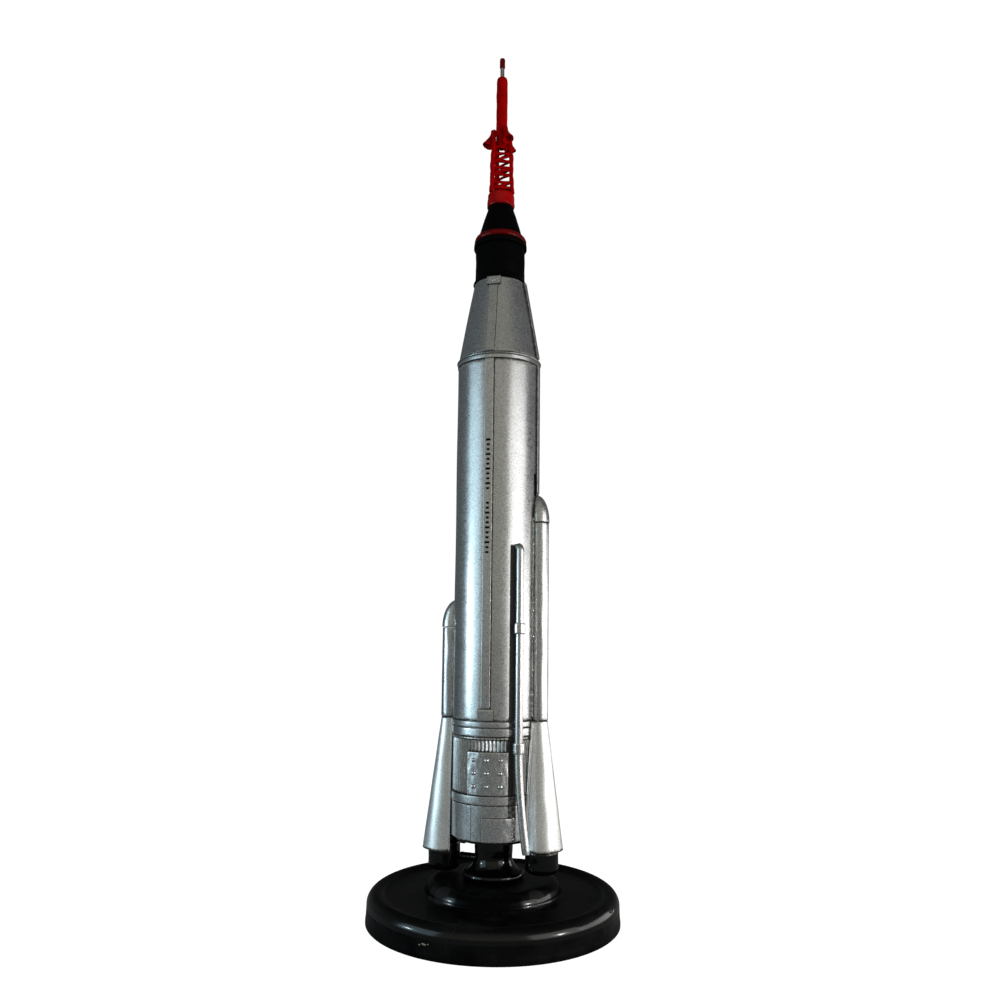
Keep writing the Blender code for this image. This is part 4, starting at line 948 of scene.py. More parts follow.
@dataclass
class Engines(Assembly):
    """Sustainer bell, booster bells, the plate behind them and the duct."""

    paint: Paintbox
    body: Body = Body.ROCKET
    neck: float = 10.5 * MM
    lip: float = 2.0 * MM
    wall: float = 1.2 * MM
    booster_round: float = 3.0 * MM
    duct_radius: float = 2.25 * MM
    duct_raise: float = 1.6 * MM
    duct_reach: float = 4.4 * MM

    def bell_outline(self) -> Array:
        """A straight neck, a concave flare that turns 62 degrees, the ring at the mouth, the inside."""
        span = Span.of("sustainer_bell")
        mouth, top, rim = span.bottom, span.top, span.radius
        centre = (rim - self.lip, mouth + self.lip)
        curve = (rim - 1.15 * self.lip - self.neck) / (1 - math.cos(math.radians(62.0)))
        start = mouth + 1.9 * self.lip + curve * math.sin(math.radians(62.0))
        flare = arc((self.neck + curve, start), curve, 180, 242, 22)
        inner = rim - 2 * self.lip - self.wall
        return profile((self.neck, top), (self.neck + 0.3 * MM, (top + start) / 2), flare,
                       arc(centre, self.lip, 80, -90, 18),
                       (inner, mouth), (inner, mouth + 2 * self.lip),
                       (self.neck - self.wall, mouth + 10 * MM), (self.neck - self.wall, top))

    def booster_outline(self, span: Span, radius: float) -> Array:
        """A cylinder with a shallow groove, a rounded mouth and a blind bore."""
        mouth, top = span.bottom, span.top
        rounding = (radius - self.booster_round, mouth + self.booster_round)
        bore = radius - self.booster_round - self.wall
        groove = top - 4.2 * MM
        return profile((0.0, top), (radius - 0.3 * MM, top), (radius, top - 0.3 * MM),
                       (radius, groove + 0.5 * MM), (radius - 0.35 * MM, groove), (radius, groove - 0.5 * MM),
                       arc(rounding, self.booster_round, 0, -90, 14), (bore, mouth),
                       (bore, mouth + 3 * self.wall), (0.0, mouth + 3 * self.wall))

    def build(self) -> None:
        """Adds the engines."""
        outline = divided(self.bell_outline(), 1.2 * MM)
        self.add("sustainer_flare", turned(outline, 128, True, beaten(0.16 * MM, 8, 14 * MM)),
                 GLOSS_BLACK, "sustainer_bell")
        for side in ("left", "right"):
            span = Span.of(side + "_booster_bell")
            middle = (span.low + span.high) / 2
            radius = (span.high.x - span.low.x) / 2
            bell = turned(divided(self.booster_outline(span, radius), 1.2 * MM, False), 96, False,
                          beaten(0.14 * MM, 9, 12 * MM))
            self.add(side + "_booster_flare", bell.moved(Matrix.Translation((middle.x, middle.y, 0.0))),
                     GLOSS_BLACK, side + "_booster_bell")
        span = Span.of("exhaust_duct")
        middle = (span.low + span.high) / 2 + Vector((0.0, 0.0, self.duct_raise))
        start = np.array([span.low.x + 0.1 * MM, middle.y, middle.z])
        end = np.array([span.high.x + self.duct_reach, middle.y, middle.z])
        share = np.linspace(0.0, 1.0, 24)[:, None]
        radii = self.duct_radius + 0.10 * MM * np.sin(share[:, 0] * 60)
        duct = swept(start * (1 - share) + end * share, radii, 24)
        self.add("exhaust_elbow", duct, GLOSS_BLACK, "exhaust_duct")
        self.dress(GLOSS_BLACK, "engine_plate")
        self.dress(STEEL, "spigot_socket")


# Thrust section

@dataclass
class ThrustSection(Assembly):
    """Skirt, band, ribbed shell, rings, and the plates on them."""

    paint: Paintbox
    body: Body = Body.ROCKET
    wall: float = 0.9 * MM
    ribs: int = 68
    rib_depth: float = 0.75 * MM
    bead_height: float = 1.5 * MM
    panel_azimuth: float = 12.0
    panel_span: float = 56.0
    lower_azimuth: float = 28.2
    lower_span: float = 45.5
    rivet_radius: float = 1.25 * MM
    seam_reach: float = 0.42 * MM
    drop_azimuth: float = 46.6
    drop_pitch: float = 1.35 * MM

    def hoop(self, node: str, name: str, ease: float, seed: int) -> None:
        """A plain hoop or shell in place of the node."""
        span = Span.of(node)
        outer = span.radius
        inner = outer - self.wall
        outline = profile((outer, span.top), (outer, span.bottom), (inner, span.bottom), (inner, span.top))
        outline = divided(eased(outline, ease), 0.8 * MM)
        shape = turned(outline, 384, True, beaten(0.22 * MM, seed, 22 * MM),
                       (span.bottom, span.top), self.seam_reach)
        if node == "skirt_shell":
            plate = Span.of("lower_panel")
            shape.dirt_and_painted_light = np.maximum(shape.dirt_and_painted_light, round_plate(
                shape.points, self.lower_azimuth, math.radians(self.lower_span) * outer,
                (plate.bottom, plate.top), self.seam_reach))
        # painted shadow of the feed tube on the hoop
        shape.dirt_and_painted_light = np.maximum(shape.dirt_and_painted_light, painted_tube_shadow(shape.points, 0.75))
        self.add(name, shape, SILVER, node)

    def ribbed(self) -> Shape:
        """Corrugated shell: radius falls by the rib depth as (1 - cos(n a)) / 2, below a round bead."""
        span = Span.of("ribbed_section")
        outer = span.radius
        bead = span.top - self.bead_height
        rise = arc((outer - 0.35 * MM, bead + 0.5 * self.bead_height), 0.5 * self.bead_height, 88, -88, 8)
        outline = profile((outer - 0.9 * MM, span.top), rise, (outer, bead - 0.3 * MM),
                          (outer, span.bottom), (outer - self.wall - self.rib_depth, span.bottom),
                          (outer - self.wall - self.rib_depth, span.top))
        outline = divided(outline, 1.6 * MM)

        on_skin = (outline[:, 0] > outer - 0.2 * MM)[:, None]

        def corrugation(azimuth: Array, level: Array) -> Array:
            """The ribs, on the outer side only and only below the bead."""
            valley = (0.5 - 0.5 * np.cos(self.ribs * azimuth)) ** 0.7
            return -self.rib_depth * valley * (level < bead - 0.2 * MM) * on_skin

        shape = turned(outline, self.ribs * 12, True, corrugation, (span.bottom, bead, span.top), 0.5 * MM)
        azimuth = np.arctan2(shape.points[:, 0], -shape.points[:, 1])
        # painted shade in the rib valleys: ((1 - cos(n a)) / 2)^3, at most 0.8
        shape.dirt_and_painted_light = np.maximum(shape.dirt_and_painted_light, 0.80 * (0.5 - 0.5 * np.cos(self.ribs * azimuth)) ** 3)
        plate = Span.of("access_panel")
        around = round_plate(shape.points, self.panel_azimuth, math.radians(self.panel_span) * outer,
                             (plate.bottom, plate.top), 0.34 * MM)
        # painted shadow of the feed tube, with the dark outline round the access plate
        shape.dirt_and_painted_light = np.maximum.reduce([shape.dirt_and_painted_light, around, painted_tube_shadow(shape.points)])
        return shape

    def build(self) -> None:
        """Adds the section from the skirt up."""
        self.hoop("skirt_shell", "skirt_sheet", 0.25 * MM, 21)
        self.hoop("skirt_band", "skirt_hoop", 0.35 * MM, 22)
        self.add("ribbed_sheet", self.ribbed(), SHADED_SILVER, "ribbed_section")
        self.hoop("lower_ring", "lower_hoop", 0.6 * MM, 23)
        self.hoop("upper_ring", "upper_hoop", 0.6 * MM, 24)
        self.dress(STEEL, "joint_sleeve")
        self.panels()
        self.fixings()

    def panels(self) -> None:
        """The riveted access plate, the lower plate, and the skirt's lap seam."""
        span = Span.of("access_panel")
        outer = max(span.high.x, -span.low.y)
        seat = outer - 0.8 * MM
        plate = bent_plate(self.panel_azimuth, math.radians(self.panel_span) * seat, (span.bottom, span.top),
                           (seat, seat), 0.8 * MM, 0.5 * MM, 60, 40, 0.16 * MM, 31)
        self.add("access_plate", plate, PANEL_SILVER, "access_panel")
        span = Span.of("lower_panel")
        seat = Span.of("skirt_shell").radius + 0.05 * MM
        plate = bent_plate(self.lower_azimuth, math.radians(self.lower_span) * seat,
                           (span.bottom, span.top), (seat, seat),
                           0.7 * MM, 0.4 * MM, 60, 30, 0.14 * MM, 32)
        self.add("lower_plate", plate, PANEL_SILVER, "lower_panel")
        skirt = Span.of("skirt_shell")
        lap = bent_plate(-13.0, 3.0 * MM, (skirt.bottom + 0.3 * MM, skirt.top - 0.3 * MM),
                         (skirt.radius - 0.12 * MM,) * 2, 0.22 * MM, 0.3 * MM, 14, 20)
        self.add("skirt_lap", lap, SILVER)

    def fixings(self) -> None:
        """Rivets in a square of nine, solder at the lower plate's end and under the ring."""
        nodes = [f"panel_rivet_{row}{column}" for row in (1, 2, 3) for column in (1, 2, 3)]
        heads = []
        for number, node in enumerate(nodes):
            span = Span.of(node)
            middle = (span.low + span.high) / 2
            azimuth = math.degrees(math.atan2(middle.x, -middle.y))
            radius = math.hypot(middle.x, middle.y) - 0.5 * MM
            head = dome(self.rivet_radius * (1 + 0.06 * math.sin(number * 2.4)), 0.95 * MM, 24)
            heads.append(head.moved(facing_out(radius, azimuth, middle.z, 2.0 * math.sin(number))))
        self.add("panel_rivets", joined(heads), PANEL_SILVER, *nodes)
        rng = np.random.default_rng(77)
        skirt = Span.of("skirt_shell")
        drops = []
        for number in range(9):
            azimuth = self.drop_azimuth + rng.uniform(-2.0, 1.6)
            level = skirt.bottom + 1.5 * MM + number * self.drop_pitch
            centre = point(skirt.radius + 0.25 * MM, azimuth, level)
            drops.append(blob(centre, (0.62 * MM, 0.62 * MM, rng.uniform(0.7, 1.3) * MM), 100 + number))
        ring = Span.of("lower_ring")
        for azimuth, level in ((-30.0, 0.0), (-5.0, 0.2), (38.0, -0.1), (62.0, 0.1)):
            centre = point(ring.radius - 0.2 * MM, azimuth, ring.bottom + level * MM)
            drops.append(blob(centre, (0.5 * MM, 0.5 * MM, 0.35 * MM), 200 + int(azimuth)))
        self.add("skirt_solder", joined(drops), SOLDER)


# Tank and taper

@dataclass
class Tank(Assembly):
    """Tank, rolled lip and taper, with their raceways and the neutral scale of dashes."""

    paint: Paintbox
    body: Body = Body.ROCKET
    wall: float = 0.9 * MM
    raceway_azimuth: float = 9.0
    raceway_width: float = 5.0 * MM
    raceway_rise: float = 0.85 * MM
    block_width: float = 8.6 * MM
    clip_width: float = 7.8 * MM
    side_azimuth: float = 90.0
    side_width: float = 3.4 * MM
    side_rise: float = 1.3 * MM
    dashes: int = 24
    dash_pitch: float = 2.75 * MM
    dash_top: float = 265.0 * MM

    def tank(self) -> None:
        """The tank's tube."""
        span = Span.of("tank_tube")
        outer = span.radius
        outline = profile((outer, span.top), (outer, span.bottom),
                          (outer - self.wall, span.bottom), (outer - self.wall, span.top))
        outline = divided(eased(outline, 0.2 * MM), 2.4 * MM)
        tank = turned(outline, 480, True, beaten(0.14 * MM, 41, 70 * MM), (span.bottom, span.top), 0.9 * MM)
        beside = self.raceway_wash(tank.points, Span.of("front_raceway"), 0.80 * MM,
                                   Span.of("raceway_foot_block"), self.block_width)
        # painted shadow of the feed tube, and the darkening along the raceway
        tank.dirt_and_painted_light = np.maximum.reduce([tank.dirt_and_painted_light, painted_tube_shadow(tank.points), beside])
        self.add("tank_skin", tank, SILVER, "tank_tube")

    def lip(self) -> None:
        """The rolled lip on the tank, with a painted shadow in its undercut."""
        span = Span.of("taper_lip")
        outer = span.radius
        waist = outer - 0.5 * MM
        outline = profile((waist - 0.8 * MM, span.top), (outer - 0.45 * MM, span.top),
                          (outer, span.top - 0.30 * MM), (outer, span.top - 0.65 * MM),
                          (waist, span.top - 0.95 * MM), (waist, span.bottom),
                          (waist - 0.8 * MM, span.bottom))
        lip = turned(divided(eased(outline, 0.2 * MM), 0.3 * MM), 288, True, beaten(0.10 * MM, 42, 9 * MM))
        # painted shadow in the undercut, about 1.15 mm under the lip's top; dirt at its foot seam
        lip.dirt_and_painted_light = np.exp(-(np.abs(lip.points[:, 2] - span.top + 1.15 * MM) / (0.42 * MM)) ** 2)
        lip.dirt_and_painted_light = np.maximum(lip.dirt_and_painted_light, seam_wash(lip.points[:, 2], (span.bottom,), 0.3 * MM))
        self.add("tank_lip", lip, SILVER, "taper_lip")

    def taper(self) -> None:
        """The cone that narrows to the nose plate."""
        span = Span.of("taper_cone")
        foot, top = span.radius, self.taper_top()
        outline = profile((top, span.top), (foot, span.bottom),
                          (foot - self.wall, span.bottom), (top - self.wall, span.top))
        outline = divided(eased(outline, 0.2 * MM), 1.2 * MM)
        taper = turned(outline, 384, True, beaten(0.22 * MM, 43, 50 * MM), (span.bottom, span.top), 0.7 * MM)
        beside = self.raceway_wash(taper.points, span, 0.30 * MM,
                                   Span.of("raceway_top_clip"), self.clip_width)
        taper.dirt_and_painted_light = np.maximum(taper.dirt_and_painted_light, beside)
        self.add("taper_skin", taper, SILVER, "taper_cone")

    def raceway_wash(self, points: Array, strip: Span, reach: float, end: Span, end_width: float) -> Array:
        """Dirt on a shell along the front raceway, weaker on its left, and round the plate at its end.

        Args:
            points: of the shell.
            strip: of the raceway.
            reach: how far the dirt spreads from the raceway.
            end: of the block or clip.
            end_width: width of that.

        Returns:
            Dirt at each point.
        """
        azimuth = self.raceway_azimuth
        beside = round_plate(points, azimuth, self.raceway_width, (strip.bottom, strip.top), reach)
        left = np.arctan2(points[:, 0], -points[:, 1]) < math.radians(azimuth)
        around = round_plate(points, azimuth, end_width, (end.bottom, end.top), 0.40 * MM)
        return np.maximum(beside * np.where(left, 0.55, 1.0), around)

    def taper_top(self) -> float:
        """Radius at the top of the taper: the plate inside it, its clearance and the wall."""
        return Span.of("nose_plate").radius + GAP + self.wall

    def taper_radius(self, level: float) -> float:
        """Outer radius of the taper at a level."""
        span = Span.of("taper_cone")
        share = (level - span.bottom) / span.height
        return span.radius + (self.taper_top() - span.radius) * share

    def strip(self, name: str, node: str, azimuth: float, width: float, thickness: float,
              tapered: bool = False, seed: int = 51, finish: Finish = SILVER) -> None:
        """A raceway in place of a node, on the tank or on the taper."""
        span = Span.of(node)
        levels = (span.bottom, span.top)
        seat = Span.of("tank_tube").radius - 0.05 * MM
        radii = tuple(self.taper_radius(level) - 0.05 * MM for level in levels) if tapered else (seat, seat)
        rows = max(12, int(span.height / (3.0 * MM)))
        plate = bent_plate(azimuth, width, levels, radii, thickness, 0.35 * MM, 20, rows,
                           0.08 * MM, seed, flat=True)
        self.add(name, plate, finish, node)

    def build(self) -> None:
        """Adds skin, raceways and marks."""
        self.tank()
        self.lip()
        self.taper()
        front, side = self.raceway_azimuth, self.side_azimuth
        width, rise = self.raceway_width, self.raceway_rise
        self.strip("raceway_strip", "front_raceway", front, width, rise)
        self.strip("raceway_block", "raceway_foot_block", front, self.block_width, 1.3 * MM,
                   seed=52, finish=PANEL_SILVER)
        self.strip("raceway_taper_strip", "front_taper_raceway", front, width, rise, True, 53)
        self.strip("raceway_clip", "raceway_top_clip", front, self.clip_width, 1.25 * MM,
                   True, 54, PANEL_SILVER)
        self.strip("side_strip", "side_raceway", side, self.side_width, self.side_rise, seed=55)
        self.strip("side_taper_strip", "side_taper_raceway", side, self.side_width, self.side_rise, True, 56)
        self.dress(STEEL, "nose_plate")
        clip = Span.of("raceway_top_clip")
        level = clip.bottom + 0.45 * clip.height
        place = facing_out(self.taper_radius(level) + 1.1 * MM, front, level, 10.3)
        pin = dome(0.75 * MM, 0.5 * MM, 20).moved(place)
        self.add("clip_pin", pin, PANEL_SILVER)
        self.marks()
        self.sealant()

    def marks(self) -> None:
        """A neutral scale on the raceway: short black dashes, every third one wider, in two groups."""
        seat = Span.of("tank_tube").radius + 0.75 * MM
        plates = []
        for number in range(self.dashes):
            if number in (11, 12):
                continue
            level = self.dash_top - number * self.dash_pitch
            width = 2.7 * MM if number % 3 == 0 else 1.8 * MM
            plates.append(bent_plate(self.raceway_azimuth, width, (level - 0.62 * MM, level + 0.62 * MM),
                                     (seat, seat), 0.16 * MM, 0.1 * MM, 10, 6))
        self.add("scale_dashes", joined(plates), MARK_BLACK)

    def sealant(self) -> None:
        """The black strip that shows beside the side raceway above the right pod."""
        nose = Span.of("right_pod_nose")
        side = Span.of("side_raceway")
        radius = Span.of("tank_tube").radius
        plate = bent_plate(self.side_azimuth - 6.4, 1.5 * MM, (nose.top - 1.0 * MM, side.bottom + 11.0 * MM),
                           (radius - 0.05 * MM,) * 2, 0.8 * MM, 0.4 * MM, 12, 18, 0.1 * MM, 61)
        self.add("sealant_strip", plate, MARK_BLACK)


# Pods and fairings

@dataclass
class Pods(Assembly):
    """Equipment pods with swept noses, lying against the tank, and the solder along them."""

    paint: Paintbox
    body: Body = Body.ROCKET
    clearance: float = GAP
    lip: float = 0.25 * MM
    segments: int = 96
    bead_radius: float = 0.42 * MM

    def laid(self, points: Array) -> Array:
        """Points moved straight out to the tank's clearance where they would be inside it."""
        seat = Span.of("tank_tube").radius + self.clearance
        reach = np.hypot(points[..., 0], points[..., 1])
        push = np.maximum(1.0, seat / np.maximum(reach, 1e-9))
        return points * np.stack([push, push, np.ones_like(push)], axis=-1)

    def barrel(self, span: Span, side: float, centre: float, radius: float) -> Shape:
        """A round pod: circles about its own axis, eased at both ends and laid on the tank."""
        inset = np.array([1.0, 0.35, 0.1, 0.0])
        ease = 0.5 * MM
        levels = np.concatenate([span.bottom + ease * np.array([0.0, 0.12, 0.45, 1.0]),
                                 np.linspace(span.bottom + 2 * MM, span.top - 2 * MM, 40),
                                 span.top - ease * np.array([1.0, 0.45, 0.12, 0.0])])
        radii = radius - ease * np.concatenate([inset, np.zeros(40), inset[::-1]])
        turn = np.linspace(0.0, math.tau, self.segments, endpoint=False)[None, :]
        radii = radii[:, None] + beaten(0.12 * MM, 71 + int(side), 30 * MM)(turn, levels[:, None])
        middle = side * centre
        points = np.stack([middle + radii * np.cos(turn), radii * np.sin(turn),
                           levels[:, None] + 0.0 * turn], axis=-1)
        points = self.laid(points)
        pole = middle + side * 1.0 * MM
        caps = np.array([[[pole, 0.0, span.bottom]], [[pole, 0.0, span.top]]])
        caps = np.broadcast_to(caps, (2, self.segments, 3))
        points = np.concatenate([caps[:1], points, caps[1:]])
        dirt_and_shade = seam_wash(points[..., 2], (span.bottom, span.top), 0.35 * MM)
        # dark seams at the ends, and painted shade against the tank
        return closed(points, dirt_and_painted_light=np.maximum(dirt_and_shade, self.painted_crevice_shade(points)))

    def nose(self, span: Span, side: float, centre: float, radius: float) -> Shape:
        """A swept nose: at height h the radius shrinks as sqrt(1 - h^2) and the middle moves inward."""
        tank = Span.of("tank_tube").radius
        height = np.sin(np.linspace(0.0, math.pi / 2, 26))[:, None]
        swell = np.sqrt(np.clip(1 - height ** 2, 0.0, 1.0))
        turn = np.linspace(0.0, math.tau, self.segments, endpoint=False)[None, :]
        middle = side * (tank + (centre - tank) * swell)
        reach = radius * swell * (1 + 0.018 * np.sin(3 * turn + side) * height)
        points = np.stack([middle + reach * np.cos(turn), reach * np.sin(turn),
                           span.bottom + 0.6 * MM + (span.height - 0.7 * MM) * height + 0.0 * turn], axis=-1)
        skirt = points[:1] - np.array([0.0, 0.0, 0.6 * MM])
        tuck = skirt.copy()
        tuck[..., 0] += (middle[0, 0] - tuck[..., 0]) * 0.06
        pole = np.array([[[middle[0, 0] + side * 1.0 * MM, 0.0, span.bottom]]])
        floor = np.broadcast_to(pole, (1, self.segments, 3))
        points = self.laid(np.concatenate([floor, tuck, skirt, points]))
        dirt_and_shade = seam_wash(points[..., 2], (span.bottom,), 0.5 * MM)
        # dark seam at the foot, and painted shade against the tank
        return closed(points, dirt_and_painted_light=np.maximum(dirt_and_shade, self.painted_crevice_shade(points)))

    def painted_crevice_shade(self, points: Array) -> Array:
        """Painted shade, brown in part as a painted warm reflection, that fades with the distance from the
        tank: exp(-distance / 1.8 mm).
        """
        seat = Span.of("tank_tube").radius + self.clearance
        away = np.hypot(points[..., 0], points[..., 1]) - seat
        return 0.95 * np.exp(-np.clip(away, 0.0, None) / (1.8 * MM))

    def bead(self, name: str, azimuths: Sequence[float], bottom: float, top: float, seed: int) -> None:
        """Solder along a seam: a wire whose radius wanders, with lumps here and there."""
        rng = np.random.default_rng(seed)
        level = np.linspace(bottom, top, 160)
        phases = rng.uniform(0, math.tau, 4)
        rates = math.tau / (np.array([3.1, 7.3, 13.0, 29.0]) * MM)
        wander = np.sin(level[:, None] * rates + phases)
        lumps = np.clip(wander[:, 1] * wander[:, 2] - 0.45, 0.0, 1.0) * 0.9 * MM
        radius = self.bead_radius * (0.75 + 0.22 * wander[:, 0]) + lumps
        seat = Span.of("tank_tube").radius + 0.15 * MM
        shapes = []
        for azimuth in azimuths:
            turn = np.radians(azimuth + 0.3 * wander[:, 3])
            shapes.append(swept(polar(seat + 0.0 * level, turn, level), radius, 12))
        self.add(name, joined(shapes), SOLDER)

    def build(self) -> None:
        """Adds both pods."""
        for side_name, side in (("left", -1.0), ("right", 1.0)):
            pod = Span.of(side_name + "_pod")
            nose = Span.of(side_name + "_pod_nose")
            radius = (pod.high.y - pod.low.y) / 2
            outward = max(side * pod.low.x, side * pod.high.x)
            centre = outward - radius
            self.add(side_name + "_pod_barrel", self.barrel(pod, side, centre, radius), SILVER,
                     side_name + "_pod")
            self.add(side_name + "_pod_cap", self.nose(nose, side, centre, radius + self.lip),
                     PANEL_SILVER, side_name + "_pod_nose")
            half = math.degrees(math.asin(radius / (centre + 1 * MM))) - 0.4
            self.bead(side_name + "_pod_solder", (side * 90 - half, side * 90 + half),
                      pod.bottom + 2 * MM, pod.top + 3 * MM, 81 + int(side))


@dataclass
class Fairings(Assembly):
    """Flared half-cone fairings over the boosters, each with two fine lines along its flanges."""

    paint: Paintbox
    body: Body = Body.ROCKET
    top_radius: float = 4.8 * MM
    foot_radius: dict = field(default_factory=lambda: {-1.0: 12.5 * MM, 1.0: 11.7 * MM})
    top_offset: float = 27.3 * MM
    foot_offset: float = 29.3 * MM
    shift: float = -1.0 * MM
    wall: float = 0.6 * MM
    flange: float = 1.8 * MM
    foot_flange: float = 1.6 * MM
    arc_columns: int = 72

    def sheet(self, side: float, span: Span, inset: float) -> Array:
        """Grid of one face of the sheet: an arc about a moving centre, then a strip along the skirt.

        Args:
            side: -1 for the left, 1 for the right.
            span: of the CAD node.
            inset: how far this face lies under the outer one.

        Returns:
            Points, (rows, columns, 3).
        """
        seat = Span.of("upper_ring").radius + GAP + self.wall
        down = np.linspace(0.0, 1.0, 48)[:, None]
        level = span.top + (span.bottom - span.top) * down
        radius = self.top_radius + (self.foot_radius[side] - self.top_radius) * down
        centre = self.top_offset + (self.foot_offset - self.top_offset) * down + side * self.shift
        reach = (seat ** 2 - centre ** 2 - radius ** 2) / (2.0 * centre * radius)
        limit = np.arccos(np.clip(reach, -1.0, 1.0))
        turn = limit * np.linspace(-1.0, 1.0, self.arc_columns + 1)[None, :]
        face = radius - inset + beaten(0.10 * MM, 90 + int(side), 26 * MM)(turn, level)
        outward, across = centre + face * np.cos(turn), face * np.sin(turn)
        edge = math.pi / 2 - np.arctan2(centre + radius * np.cos(limit), radius * np.sin(limit))
        width = (self.flange + (self.foot_flange - self.flange) * down) / seat
        strip = edge + width * np.linspace(1.0, 0.15, 5)[None, :]
        low = seat - inset
        outward = np.concatenate([low * np.cos(strip), outward, (low * np.cos(strip))[:, ::-1]], axis=1)
        across = np.concatenate([-low * np.sin(strip), across, (low * np.sin(strip))[:, ::-1]], axis=1)
        return np.stack([side * outward, side * across, level + 0.0 * outward], axis=-1)

    def build(self) -> None:
        """Adds both fairings with their edge lines."""
        for side_name, side in (("left", -1.0), ("right", 1.0)):
            node = side_name + "_fairing"
            span = Span.of(node)
            outer, inner = self.sheet(side, span, 0.0), self.sheet(side, span, self.wall)
            level = outer[..., 2]
            dirt_and_shade = seam_wash(level, (span.top, span.bottom), 0.6 * MM)
            # darker towards the foot, over about 3.2 mm
            dirt_and_shade = np.maximum(dirt_and_shade, 0.62 * seam_wash(level, (span.bottom,), 3.2 * MM))
            self.add(side_name + "_fairing_sheet", slab(outer, inner, dirt_and_shade), LIT_FAIRING_SILVER, node)
            lines = []
            for column in (1, 5, -6, -2):
                path = outer[1:-1, column]
                lines.append(swept(path, 0.22 * MM, 8))
            self.add(side_name + "_fairing_beads", joined(lines), SOLDER)


# Feed tube

@dataclass
class FeedTube(Assembly):
    """The bent tube on the front right and its two strap clamps."""

    paint: Paintbox
    body: Body = Body.ROCKET
    radius: float = 2.2 * MM
    stand_off: float = 0.55 * MM
    azimuth: float = 50.5
    bend_level: float = 93.0 * MM
    foot_offset: float = 31.5 * MM
    foot_azimuth: float = 55.0
    strap: float = 0.8 * MM
    tab: float = 4.2 * MM

    def route(self) -> Array:
        """Out of the tank, a quarter circle down, straight, then leaning out as share^1.6."""
        span, tank = Span.of("feed_tube"), Span.of("tank_tube")
        offset = tank.radius + self.stand_off + self.radius
        start = tank.radius + 2 * GAP
        bend = offset - start
        centre = span.top - self.radius
        foot = span.bottom + 0.35 * MM
        quarter = np.linspace(0.0, math.pi / 2, 14)
        straight = np.linspace(centre - bend - 1.5 * MM, self.bend_level, 60)
        share = np.linspace(0.0, 1.0, 40)[1:]
        lean = share ** 1.6
        radius = np.concatenate([[start - 0.3 * MM], start + bend * np.sin(quarter), np.full(60, offset),
                                 offset + (self.foot_offset - offset) * lean])
        azimuth = np.concatenate([np.full(75, self.azimuth),
                                  self.azimuth + (self.foot_azimuth - self.azimuth) * lean])
        level = np.concatenate([[centre], centre - bend * (1 - np.cos(quarter)), straight,
                                self.bend_level + (foot - self.bend_level) * share])
        return polar(radius, np.radians(azimuth), level)

    def clamp(self, node: str, name: str, seat: float) -> None:
        """A strap over the tube that lies flat on the body beside it.

        Its path in plan is a straight tab, an arc round the tube and a short foot.
        """
        span, tank = Span.of(node), Span.of("tank_tube")
        offset = tank.radius + self.stand_off + self.radius
        hold = self.radius + 0.15 * MM
        over = np.radians(np.linspace(118.0, -112.0, 40))
        ring = np.stack([hold * np.sin(over), offset + hold * np.cos(over)], axis=-1)
        tab = np.radians(np.linspace(1.0, 0.45, 8)) * math.degrees(self.tab / seat)
        flat = np.stack([seat * np.sin(tab), seat * np.cos(tab)], axis=-1)
        path = np.concatenate([flat, ring])
        along = np.gradient(path, axis=0)
        along /= np.linalg.norm(along, axis=1, keepdims=True)
        normal = np.stack([along[:, 1], -along[:, 0]], axis=-1)
        outer = path + normal * self.strap
        turn = math.radians(self.azimuth)
        level = (span.bottom + (span.top - span.bottom) * edge_spacing(12))[:, None]
        ease = pressed(np.full((1, len(path)), 0.5), edge_spacing(12)[:, None], 1.0, span.height, 0.4 * MM)

        def stood(plan: Array) -> Array:
            """The plan turned to the tube's azimuth, at every level."""
            x = plan[..., 0] * math.cos(turn) + plan[..., 1] * math.sin(turn)
            y = plan[..., 0] * math.sin(turn) - plan[..., 1] * math.cos(turn)
            return np.stack(np.broadcast_arrays(x, y, level), axis=-1)

        skin = path[None] + (outer - path)[None] * ease[..., None]
        shape = slab(stood(skin), stood(np.broadcast_to(path[None], skin.shape)))
        self.add(name, shape, PANEL_SILVER, node)

    def build(self) -> None:
        """Adds the tube and clamps."""
        path = self.route()
        count = len(path)
        radii = self.radius * (1 + 0.012 * np.sin(np.linspace(0.0, 46.0, count)))
        radii[[0, -1]] *= 0.92
        self.add("feed_pipe", swept(path, radii, 40), SILVER, "feed_tube")
        self.clamp("upper_clamp", "upper_strap", Span.of("tank_tube").radius + 0.05 * MM)
        self.clamp("lower_clamp", "lower_strap", Span.of("ribbed_section").radius + 0.1 * MM)


# Capsule

